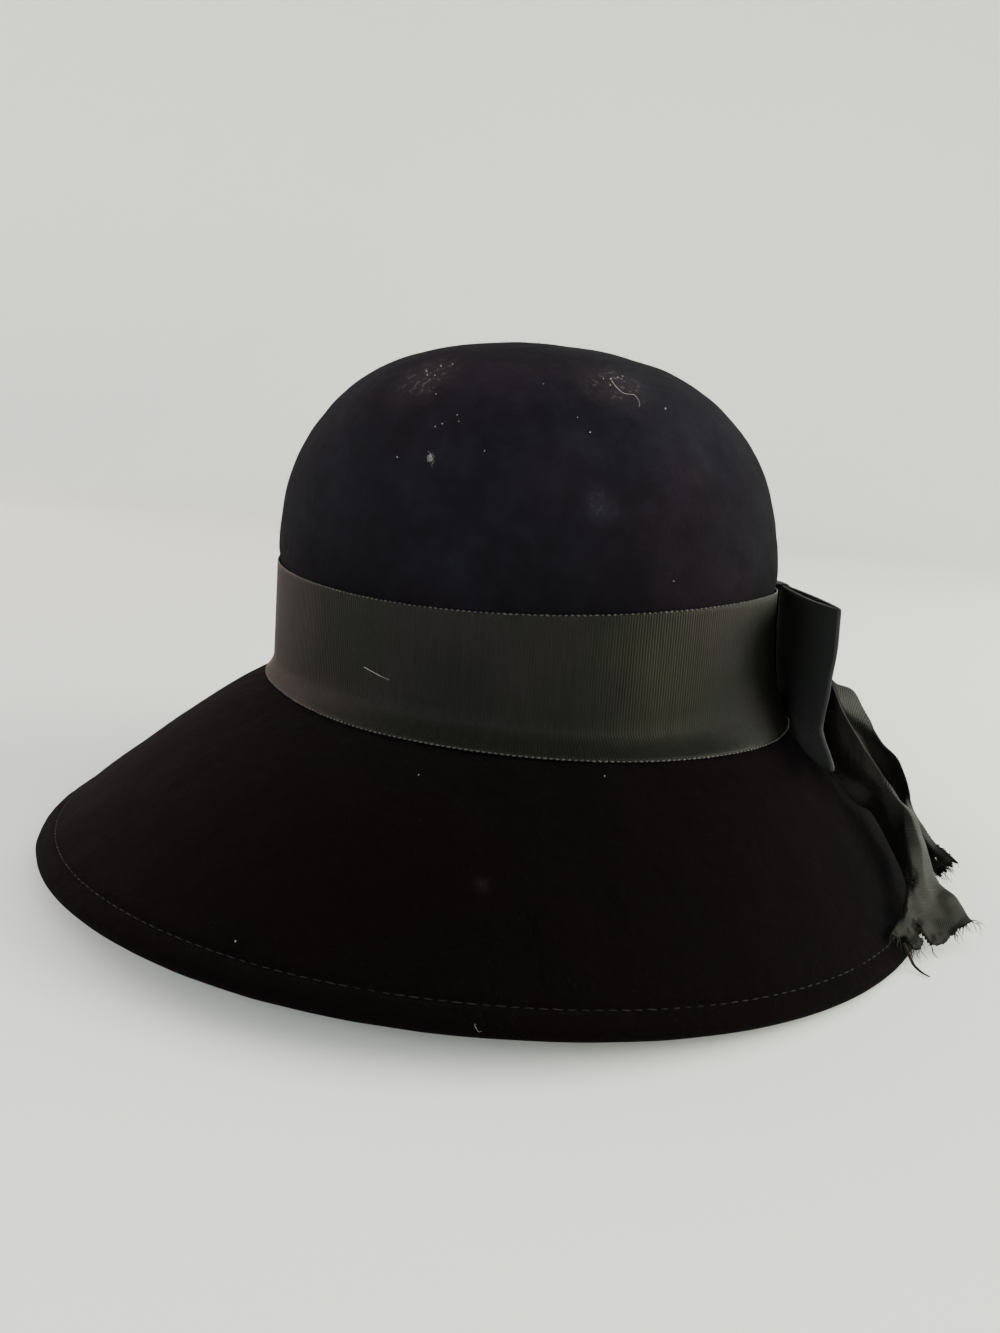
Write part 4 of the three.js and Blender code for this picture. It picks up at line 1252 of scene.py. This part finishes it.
WRAP_DEPTH = 13  # the wrap stands this far off the band, so that it covers the tails' roots
WRAP_LEAST_DEPTH = 8.5  # where it passes over the lip
WRAP_BOTTOM = 0.8
WRAP_COLUMNS = np.concatenate([[-1, -0.985, -0.95], np.linspace(-0.88, 0.88, 27), [0.95, 0.985, 1]])
WRAP_SQUARENESS = 0.45  # exponent of its rounded-rectangle section
WRAP_LOWER_SQUARENESS = 0.12  # and of the section's lower corners
WRAP_WAIST = 0.10  # it is narrower by this share halfway up
WRAP_PLEATS = [(-0.55, 0.8), (0.05, 1.1), (0.6, 0.7)]  # place across, depth in millimetres
WRAP_PLEAT_SPREAD = 0.09
WRAP_TUCK = 1.5  # its sides are drawn in by this much
WRAP_CLEARANCE = 0.3  # least distance off the band
WRAP_DROOP = 1.1  # slope of its lower end, along the brim
WRAP_SIDE_DROOP = 1.2  # its sides hang this much lower still
WRAP_DROOP_RISE = 9  # height over which the droop fades


class HAT_OT_knot(bpy.types.Operator):
    """Wraps the middle of the bow with a pleated turn of ribbon"""

    bl_idname = "hat.knot"
    bl_label = "Bow Knot"

    def execute(self, context):
        felt, ribbon = context.scene.hat_felt, context.scene.hat_ribbon

        def section(turn):
            middle, half = (KNOT_TOP + WRAP_BOTTOM) / 2, (KNOT_TOP - WRAP_BOTTOM) / 2
            corner = np.where(np.cos(turn) < 0, WRAP_LOWER_SQUARENESS, WRAP_SQUARENESS)
            height = middle + half * np.sign(np.cos(turn)) * np.abs(np.cos(turn)) ** corner
            bulge = np.sign(-np.sin(turn)) * np.abs(np.sin(turn)) ** WRAP_SQUARENESS
            depth = np.maximum(WRAP_LEAST_DEPTH, WRAP_DEPTH - lip_at_bow(felt, 0, height))
            return KNOT_SEAT + depth / 2 * (1 + bulge), height

        fine = np.linspace(0, 2 * math.pi, 2001)
        out, height = section(fine)
        walk = arc_length(np.stack([out, height], -1) * MM)
        along, turn = ribbed(walk, fine, ribbon)
        turns, widths = np.meshgrid(turn, WRAP_COLUMNS, indexing="ij")
        out, height = section(turns)
        up = math.pi * (height - WRAP_BOTTOM) / (KNOT_TOP - WRAP_BOTTOM)
        waist = 1 - WRAP_WAIST * np.sin(up)
        outer = smooth(np.clip(out / WRAP_DEPTH, 0, 1))
        pleat = sum(
            depth * np.exp(-(((widths - place) / WRAP_PLEAT_SPREAD) ** 2))
            for place, depth in WRAP_PLEATS
        )
        out = np.maximum(out - outer * (pleat + WRAP_TUCK * widths**4), WRAP_CLEARANCE)
        beyond = out + lip_at_bow(felt, 0, height) - LIP_FLARE_BACK / MM
        droop = WRAP_DROOP * np.maximum(beyond, 0) + WRAP_SIDE_DROOP * widths**2
        droop = droop * (1 - smooth(np.clip(height / WRAP_DROOP_RISE, 0, 1)))
        middle = bow_point(felt, KNOT_WIDTH / 2 * widths * waist, out, height)
        middle[..., 2] -= droop * MM
        across = arc_length(middle[len(turn) // 2])
        wrap = ribbon_piece("bow_knot_wrap", middle, along, across, closed=True, nodes=["knot"])
        return {"FINISHED"}


TAIL_COLUMNS = np.concatenate([[0, 0.006, 0.025], np.linspace(0.06, 0.94, 42), [0.975, 0.994, 1]])
CREASE_FROM, CREASE_FULL = 6.5, 8.5  # rows of the table between which the folds grow sharp
LEAST_SHARPNESS = 0.25  # of the folds before that
CRUMPLE, CRUMPLE_SCALE = 0.35 * MM, 0.016  # height and size of the wrinkles all along a tail
TORN_CRUMPLE, TORN_CRUMPLE_SCALE = 0.42 * MM, 0.008  # and of those near its torn end
WORN_LENGTH = 0.042  # the ribs are rubbed flat this far from a torn end
WORN_MOST = 0.85
RAGGEDNESS = 0.5  # millimetres torn away at random
HOLE_WOBBLE = 0.45  # how far a hole strays from an oval
TAIL_WIDTH = 0.03  # a tail laid flat, for that straying
DARKENING_REACH = 6.0  # millimetres of darkening beside a torn edge
COLUMN_STEPS = 3  # a column is about as wide as this many stations are long
DARKENING = {"near_tail": 0.9, "far_tail": 1.0}
DARKENING_MEAN, DARKENING_SPREAD = 0.7, 0.6  # it comes and goes by this much
LEAST_DARKENING, WORN_DARKENING = 0.10, 0.35  # everywhere, and on top of that where it is worn
CREASE_HIGHLIGHT = 0.9  # how pale the painted highlight on the upper edge is
CREASE_LENGTH, CREASE_WIDTH = 14, 0.22  # millimetres along it, share across the ribbon
FRAY_RADIUS, FUZZ_RADIUS = 0.11 * MM, 0.2 * MM
FRAY_TUFTS = 26
HOLE_THREADS = 70
# Torn ends: share across the ribbon, millimetres torn away.
TORN_EDGE = {
    "near_tail": [
        (0, 0.3), (0.10, 1.2), (0.22, 0.5), (0.30, 0.9), (0.37, 1.6), (0.42, 4.6), (0.46, 3.6),
        (0.52, 0.9), (0.60, 0.3), (0.66, 1.5), (0.73, 3.2), (0.84, 1.4), (1, 0.4),
    ],
    "far_tail": [
        (0, 0.4), (0.15, 2.6), (0.28, 0.8), (0.45, 3.4), (0.60, 1.0), (0.80, 2.4), (1, 0.6),
    ],
}
# Holes: millimetres before the end, share across, half length and half width in millimetres.
HOLES = {
    "near_tail": [
        (27.5, 0.66, 3.6, 1.5), (24.0, 0.52, 1.6, 0.8), (7.2, 0.52, 2.6, 1.5),
        (5.0, 0.47, 1.2, 0.9),
    ],
    "far_tail": [(7.5, 0.45, 0.7, 0.4)],
}
# Frayed selvages: share across, first and last millimetre before the end, number of threads.
FRAYED_SELVAGE = {"near_tail": [], "far_tail": [(0.07, 4, 16, 60), (1.0, 2, 9, 10)]}
# Long loose threads, in millimetres from the middle of the crown at the break.
LOOSE_THREADS = [
    dict(radius=0.55, path=[
        (51.5, 160, -49), (51.2, 162, -52.5), (51.3, 164, -55.6), (52.6, 166.4, -56.7),
        (54.2, 168.8, -56.8)]),
    dict(radius=0.22, path=[(50.5, 161.5, -49.5), (50.6, 162.6, -52.0), (50.2, 163.6, -54.2)]),
    dict(radius=0.2, path=[(43.0, 168.8, -52.0), (42.6, 169.6, -54.2), (41.9, 171.2, -55.6)]),
]


def tail_surface(felt, tail, t):
    """Middle surface of a tail at stations t: (stations, columns, 3) in metres."""
    along, off, heights = tail["root"]
    out = KNOT_SEAT + KNOT_DEPTH + 2 * GAP + BAND_THICKNESS / 2 + off
    root = bow_point(felt, along, out, np.array(heights, float))
    rows = np.concatenate([root[None] / MM, np.array(tail["rows"], float)])
    section = np.swapaxes(through(rows, t), 0, 1)
    x = TAIL_COLUMNS * (len(section) - 1)
    i = np.minimum(x.astype(int), len(section) - 2)
    w = (x - i)[:, None, None]
    folded = section[i] * (1 - w) + section[i + 1] * w
    row = t * (len(rows) - 1) - 1
    grown = smooth(np.clip((row - CREASE_FROM) / (CREASE_FULL - CREASE_FROM), 0, 1))
    sharp = tail["crease"] * grown
    sharp = np.maximum(sharp, LEAST_SHARPNESS)[None, :, None]
    profile = through(section, TAIL_COLUMNS) * (1 - sharp) + folded * sharp
    return np.swapaxes(profile, 0, 1) * MM


class HAT_OT_tails(bpy.types.Operator):
    """Lays the two twisted tails, tears their ends and frays them"""

    bl_idname = "hat.tails"
    bl_label = "Torn Tails"

    def execute(self, context):
        felt, ribbon = context.scene.hat_felt, context.scene.hat_ribbon
        rng = np.random.default_rng(ribbon.seed)
        tone = tuple(FIBRE_PALENESS_AND_HIGHLIGHT * c for c in ribbon.tint)
        fray = thread_material("frayed_thread", tone, roughness=0.6, sheen=0.05)
        dirty = thread_material("dirty_thread", ribbon.base, roughness=0.8, sheen=0.02)
        loose = thread_material("loose_thread", ribbon.thread, roughness=0.7, sheen=0.03)
        for name, tail in TAILS.items():
            fine = np.linspace(0, 1, 1601)
            walk = arc_length(tail_surface(felt, tail, fine)[:, len(TAIL_COLUMNS) // 3])
            step = ribbon.rib_pitch / SAMPLES_PER_RIB
            along = np.arange(int(walk[-1] / step)) * step
            middle = tail_surface(felt, tail, np.interp(along, walk, fine))
            worn = WORN_MOST * smooth(np.clip(1 - (along[-1] - along) / WORN_LENGTH, 0, 1))
            middle = crumpled(middle, CRUMPLE, CRUMPLE_SCALE)
            middle = crumpled(middle, TORN_CRUMPLE * worn[:, None], TORN_CRUMPLE_SCALE)
            across = arc_length(middle[len(along) // 2])
            width, end = across[-1], along[-1]
            centres = (TAIL_COLUMNS[:-1] + TAIL_COLUMNS[1:]) / 2
            i, j = np.meshgrid(along[:-1], centres, indexing="ij")
            torn = np.interp(TAIL_COLUMNS[:-1], *zip(*TORN_EDGE[name]))
            torn = torn + RAGGEDNESS * rng.uniform(0, 1, len(torn)) ** 2
            keep = end - i > torn * MM
            flat = np.stack([i, j * TAIL_WIDTH, 0 * i], -1)
            wobble = unevenness(flat, scale=0.0022, seed=33)
            for back, over, tall, wide in HOLES[name]:
                lengthways = (end - i - back * MM) / (tall * MM)
                sideways = (j - over) * local_width(middle) / (wide * MM)
                keep &= lengthways**2 + sideways**2 + HOLE_WOBBLE * wobble > 1
            # darker beside torn edges and the rims of holes
            darkened = darkening_beside(keep, step, middle.shape[:2])
            comes_and_goes = DARKENING_MEAN + DARKENING_SPREAD * unevenness(middle, scale=0.004, seed=21)
            darkened = DARKENING[name] * darkened * np.clip(comes_and_goes, 0, 1)
            darkened = np.maximum(darkened, LEAST_DARKENING + WORN_DARKENING * worn[:, None])
            # painted highlight: the upper edge is painted paler near the crease
            from_crease = ((end - along) / MM - tail["crease_at"]) / CREASE_LENGTH
            near_crease = np.exp(-(from_crease**2))[:, None]
            near_edge = np.exp(-((TAIL_COLUMNS / CREASE_WIDTH) ** 2))[None, :]
            rubbed_and_highlight = CREASE_HIGHLIGHT * near_crease * near_edge
            piece = ribbon_piece(
                "ribbon_" + name, middle, along, across, keep=keep, nodes=[name], worn=worn,
                rubbed_and_highlight=rubbed_and_highlight, darkening=darkened,
            )
            threads = frayed_threads(middle, keep, rng, ribbon)
            tubes("fray_of_" + name, threads, FRAY_RADIUS, fray)
            fuzz = []
            for share, first, last, count in FRAYED_SELVAGE[name]:
                steps = first * MM / step, last * MM / step
                fuzz += frayed_selvage(middle, share, *steps, count, rng)
            if fuzz:
                tubes("fuzz_of_" + name, fuzz, FUZZ_RADIUS, dirty)
        for number, thread in enumerate(LOOSE_THREADS):
            path = through(np.array(thread["path"]) * MM, np.linspace(0, 1, 16))
            girth = thread["radius"] * MM
            tubes(f"loose_thread_{number}", [path], girth, loose, sides=8)
        return {"FINISHED"}


def local_width(middle):
    """Width of the ribbon at each station, as a column."""
    steps = np.linalg.norm(np.diff(middle, axis=1), axis=-1).sum(1)
    return steps[:-1, None]


def crumpled(middle, height, scale):
    """Soft wrinkles across the middle surface of a limp ribbon."""
    normal = unit(np.cross(np.gradient(middle, axis=0), np.gradient(middle, axis=1)))
    return middle + normal * (height * unevenness(middle, scale, seed=17))[..., None]


def darkening_beside(keep, step, shape):
    """From 0 to 1 at each place: how much darker the ribbon is made beside torn edges and the rims
    of holes.
    """
    clean = np.ones((keep.shape[0] + 2, keep.shape[1] + 2), bool)
    clean[1:-1, 1:-1] = keep
    clean[-1] = False
    near = ~clean
    dimming = near.astype(float)
    reach = int(DARKENING_REACH * MM / step)
    for ring in range(1, reach + 1):
        near = near | np.roll(near, 1, 0) | np.roll(near, -1, 0)
        if ring % COLUMN_STEPS == 0:
            near = near | np.roll(near, 1, 1) | np.roll(near, -1, 1)
        dimming = np.maximum(dimming, near * (1 - ring / (reach + 1)))
    return dimming[1 : shape[0] + 1, 1 : shape[1] + 1]


def frayed_threads(middle, keep, rng, ribbon):
    """Loose threads from the torn end and round the holes, in tufts that droop."""
    paths = []
    run = unit(np.gradient(middle, axis=0))
    cross = unit(np.gradient(middle, axis=1))
    last = np.array([np.nonzero(keep[:, j])[0].max() for j in range(keep.shape[1])])
    for _ in range(FRAY_TUFTS):
        heart, lean = int(rng.integers(0, keep.shape[1])), rng.normal(0, 0.5)
        reach = ribbon.fray_length * rng.uniform(0.05, 0.75) ** 2 + 0.0005
        for _ in range(int(rng.integers(2, 7))):
            j = int(np.clip(heart + rng.integers(-2, 3), 0, keep.shape[1] - 1))
            i = int(last[j] - rng.integers(0, 5))
            aim = run[i, j] + cross[i, j] * (lean + rng.normal(0, 0.25))
            aim = unit(aim + rng.normal(0, 0.2, 3))
            paths.append(bent_path(middle[i, j], aim, reach * rng.uniform(0.5, 1.2), rng, curl=0.6))
    inner = ~keep & (np.arange(keep.shape[0])[:, None] < last[None, :] - 3)
    beside = [np.roll(keep, shift, axis) for shift in (1, -1) for axis in (0, 1)]
    holes = np.argwhere(inner & np.logical_or.reduce(beside))
    for i, j in holes[rng.permutation(len(holes))[:HOLE_THREADS]]:
        aim = unit(rng.normal(0, 1, 3) + 0.6 * run[i, j])
        paths.append(bent_path(middle[i, j], aim, rng.uniform(0.0006, 0.0026), rng, curl=0.9))
    return paths


def frayed_selvage(middle, share, first, last, count, rng):
    """Short tufts that stand out sideways at a share across the ribbon, near its end."""
    j = int(np.searchsorted(TAIL_COLUMNS, share))
    outward = unit(middle[:, j] - middle[:, j + 4 if share < 0.5 else j - 4])
    run = unit(np.gradient(middle, axis=0))[:, j]
    paths = []
    for _ in range(count):
        i = int(middle.shape[0] - 1 - rng.uniform(first, last))
        aim = unit(outward[i] + run[i] * rng.normal(0.2, 0.5) + rng.normal(0, 0.3, 3))
        paths.append(bent_path(middle[i, j], aim, rng.uniform(0.0008, 0.0028), rng, curl=0.8))
    return paths


def bent_path(start, aim, reach, rng, curl):
    """A short path that bends at random and falls a little towards its end."""
    t = np.linspace(0, 1, 7)[:, None]
    bend = unit(np.cross(aim, rng.normal(size=3)))
    wave = bend * np.sin(t * math.pi * rng.uniform(0.5, 1.6)) * curl * 0.35
    path = start + reach * (aim * t + wave + np.array([0, 0, -0.25]) * t * t)
    path[:, 2] = np.maximum(path[:, 2], FELT_LOW.z - crown_centre().z + 0.3 * MM)
    return path


# ---------- lint ----------
SPECK_SHARE = 0.6  # the specks are shown at this share of the sizes below
ON_FELT, ON_BAND = 0.2, 1.3  # a speck's lift in millimetres, and the band's on top of that
SPECK_RADIUS, FLUFF_RADIUS = 0.08 * MM, 0.03 * MM
# Specks: degrees round, v, half size in millimetres. Some places, like those of the dust, the
# stains and painted light on the band, and the hairs, were looked up. Some places, like those of
# the dust, stains and hairs, were looked up with a separate script, which isn't kept.
SPECKS = [
    (78.8, 0.704, 0.42), (99.0, 0.671, 0.45), (122.0, 0.605, 0.42), (145.2, 0.513, 0.5),
    (139.3, 0.954, 0.3), (87.5, 0.60, 0.28), (90.5, 0.57, 0.25), (91.5, 0.59, 0.25),
    (86.0, 0.61, 0.3), (111.5, 0.44, 0.28), (119.5, 0.56, 0.25), (82.0, 0.50, 0.25),
    (88.2, 2.879, 0.35), (96.5, 2.161, 0.35), (125.2, 2.065, 0.45), (83.0, 1.606, 0.12),
    (72.0, 0.40, 0.4), (75.5, 0.37, 0.55), (79.5, 0.36, 0.3), (74.0, 0.42, 0.35),
    (77.0, 0.42, 0.3), (133.0, 0.40, 0.45), (136.0, 0.39, 0.35), (138.5, 0.38, 0.4),
    (130.5, 0.40, 0.3), (131.5, 0.43, 0.3),
]
# Hairs: points as (degrees round, v, lift in millimetres) and radius in millimetres.
HAIRS = [
    dict(name="curled hair", radius=0.07, points=[
        (132.8, 0.41, 0.3), (132.6, 0.445, 0.9), (133.6, 0.475, 1.4), (135.2, 0.478, 1.5),
        (136.6, 0.478, 1.3), (137.4, 0.50, 0.7), (136.8, 0.515, 0.3)]),
    dict(name="thread on the band", radius=0.09, points=[
        (76.8, 1.553, 1.6), (78.9, 1.568, 2.0), (81.0, 1.588, 2.0), (83.2, 1.61, 1.6)]),
    dict(name="thread at the rim", radius=0.03, points=[
        (112.0, 2.975, 0.2), (112.2, 2.99, 0.9), (112.5, 3.0, 1.3), (112.7, 3.0, 2.0)]),
]
# A soft ball of fluff: centre as degrees round and v, half height and half width in millimetres.
FLUFF = dict(angle=87.3, v=0.70, tall=1.5, wide=0.9, hairs=60)


def place_on_felt(felt, degrees, v, lift):
    """A place above the felt, with the lift in millimetres."""
    angle = np.radians(np.asarray(degrees, float))
    return felt_place(felt, angle, np.asarray(v, float), -np.asarray(lift, float) * MM)


class HAT_OT_lint(bpy.types.Operator):
    """Drops the specks, hairs and fluff that cling to the felt and the band"""

    bl_idname = "hat.lint"
    bl_label = "Lint"

    def execute(self, context):
        felt, ribbon = context.scene.hat_felt, context.scene.hat_ribbon
        rng = np.random.default_rng(7)
        pale = thread_material("lint_fibre", ribbon.lint, roughness=0.8)
        flakes = []
        for degrees, v, half in SPECKS:
            half = SPECK_SHARE * half
            heart = place_on_felt(felt, degrees, v, ON_FELT + (ON_BAND if 1 < v < 2 else 0))
            for _ in range(5):
                aim = unit(rng.normal(size=3))
                start = heart - aim * half * MM
                flakes.append(bent_path(start, aim, 2 * half * MM, rng, curl=0.8))
        tubes("lint_specks", flakes, SPECK_RADIUS, pale)
        for hair in HAIRS:
            rows = np.array(hair["points"], float)
            spots = place_on_felt(felt, rows[:, 0], rows[:, 1], rows[:, 2])
            path = through(spots, np.linspace(0, 1, 24))
            tubes(hair["name"].replace(" ", "_"), [path], hair["radius"] * MM, pale)
        heart = place_on_felt(felt, FLUFF["angle"], FLUFF["v"], 0.5)
        wide, tall = FLUFF["wide"] * 0.45 * MM, FLUFF["tall"] * 0.5 * MM
        spread = (wide, wide, tall)
        wisps = []
        for _ in range(FLUFF["hairs"]):
            aim = unit(rng.normal(size=3))
            shift = rng.normal(size=3) * spread
            wisps.append(bent_path(heart + shift, aim, rng.uniform(0.5, 1.5) * MM, rng, curl=1.2))
        tubes("lint_fluff", wisps, FLUFF_RADIUS, pale)
        return {"FINISHED"}


# ---------- stage ----------
FLOOR_REACH = 1.6
FLOOR_RING = 0.5  # an extra ring of the floor, near the hat
FLOOR_TURNS = 96
WALL_RISE = 1.6
WALL_BEND = 0.7  # radius of the sweep from floor to wall
BEND_STEPS = 17
FLOOR_WELD = 1e-6
LIGHT_AIM = (0, 0, 0.1)
SENSOR = 36  # long side, in millimetres


class HAT_OT_stage(bpy.types.Operator):
    """Sets the camera, a plain pale floor that sweeps up all round, and soft lights"""

    bl_idname = "hat.stage"
    bl_label = "Stage"

    def execute(self, context):
        stage = context.scene.hat_stage
        profile = [(0.0, 0.0), (FLOOR_RING, 0.0), (FLOOR_REACH, 0.0)]
        for turn in np.linspace(0, math.pi / 2, BEND_STEPS)[1:]:
            out, up = WALL_BEND * math.sin(turn), WALL_BEND * (1 - math.cos(turn))
            profile.append((FLOOR_REACH + out, up))
        profile.append((FLOOR_REACH + WALL_BEND, WALL_RISE))
        turns = whole_turn(FLOOR_TURNS)
        r, z = np.array(profile).T
        round_it = np.outer(np.cos(turns), r), np.outer(np.sin(turns), r)
        points = np.stack([*round_it, np.outer(np.ones(FLOOR_TURNS), z)], -1)
        mesh = bpy.data.meshes.new("floor")
        faces = grid_quads(FLOOR_TURNS, len(profile), closed=True)[:, ::-1]
        mesh.from_pydata(points.reshape(-1, 3).tolist(), [], faces.tolist())
        mesh.materials.append(plain_material("pale_floor", stage.floor))
        mesh.shade_smooth()
        floor = linked("floor", mesh)
        weld(floor, FLOOR_WELD)
        floor.data.flip_normals()
        self.lights(context, stage)
        self.camera(context, stage)
        return {"FINISHED"}

    def lights(self, context, stage):
        world = bpy.data.worlds.new("soft_sky")
        world.use_nodes = True
        backdrop = world.node_tree.nodes["Background"]
        backdrop.inputs["Color"].default_value = rgba(stage.sky)
        backdrop.inputs["Strength"].default_value = stage.sky_strength
        context.scene.world = world
        aims = [
            ("window", (-0.45, 1.45, 0.62), (1.5, 1.0), stage.window_power, (0.98, 1.0, 0.82)),
            ("room", (1.7, -0.25, 0.75), (1.2, 1.0), stage.room_power, (0.90, 0.96, 1.0)),
            ("wall_glow", (-0.3, -1.6, 0.5), (0.9, 0.9), stage.glow_power, (1.0, 0.62, 0.56)),
        ]
        for name, place, size, power, tint in aims:
            data = bpy.data.lights.new(name, "AREA")
            data.shape = "RECTANGLE"
            data.size, data.size_y = size
            data.energy = power
            data.color = tint
            light = linked(name, data)
            light.location = place
            towards = Vector(LIGHT_AIM) - Vector(place)
            light.rotation_euler = towards.to_track_quat("-Z", "Y").to_euler()

    def camera(self, context, stage):
        heading, rise = stage.heading, stage.elevation
        ahead = Vector(
            (math.sin(heading) * math.cos(rise), math.cos(heading) * math.cos(rise), math.sin(rise))
        )
        level = ahead.cross(Vector((0, 0, 1))).normalized()
        above = level.cross(ahead)
        right = level * math.cos(stage.roll) + above * math.sin(stage.roll)
        up = right.cross(ahead)
        data = bpy.data.cameras.new("camera")
        data.lens = stage.lens
        data.sensor_width = SENSOR
        data.clip_start, data.clip_end = 0.01, 50
        camera = linked("camera", data)
        turned = Matrix((right, up, -ahead)).transposed().to_4x4()
        camera.matrix_world = Matrix.Translation(crown_centre() + Vector(stage.place)) @ turned
        context.scene.camera = camera


# ---------- panel and registration ----------
BUILD_ORDER = [
    HAT_OT_stage, HAT_OT_felt, HAT_OT_hem_stitches, HAT_OT_nap, HAT_OT_band, HAT_OT_knot,
    HAT_OT_loops, HAT_OT_tails, HAT_OT_lint,
]


class HAT_PT_panel(bpy.types.Panel):
    """Lists the hat's operators and sizes"""

    bl_idname = "HAT_PT_panel"
    bl_label = "Wide-Brim Hat"
    bl_space_type = "VIEW_3D"
    bl_region_type = "UI"
    bl_category = "Hat"

    def draw(self, context):
        for operator in BUILD_ORDER:
            self.layout.operator(operator.bl_idname)
        for group in (context.scene.hat_felt, context.scene.hat_ribbon, context.scene.hat_stage):
            box = self.layout.box()
            for key in group.__annotations__:
                box.prop(group, key)


GROUPS = {"hat_felt": HatFelt, "hat_ribbon": HatRibbon, "hat_stage": HatStage}


def register():
    for group in GROUPS.values():
        bpy.utils.register_class(group)
    for key, group in GROUPS.items():
        setattr(bpy.types.Scene, key, PointerProperty(type=group))
    for operator in BUILD_ORDER:
        bpy.utils.register_class(operator)
    bpy.utils.register_class(HAT_PT_panel)


def unregister():
    bpy.utils.unregister_class(HAT_PT_panel)
    for operator in reversed(BUILD_ORDER):
        bpy.utils.unregister_class(operator)
    for key, group in GROUPS.items():
        delattr(bpy.types.Scene, key)
        bpy.utils.unregister_class(group)


def main():
    register()
    for operator in BUILD_ORDER:
        group, name = operator.bl_idname.split(".")
        if getattr(getattr(bpy.ops, group), name)() != {"FINISHED"}:
            raise RuntimeError(f"{operator.bl_label} did not finish")


if __name__ == "__main__":
    main()
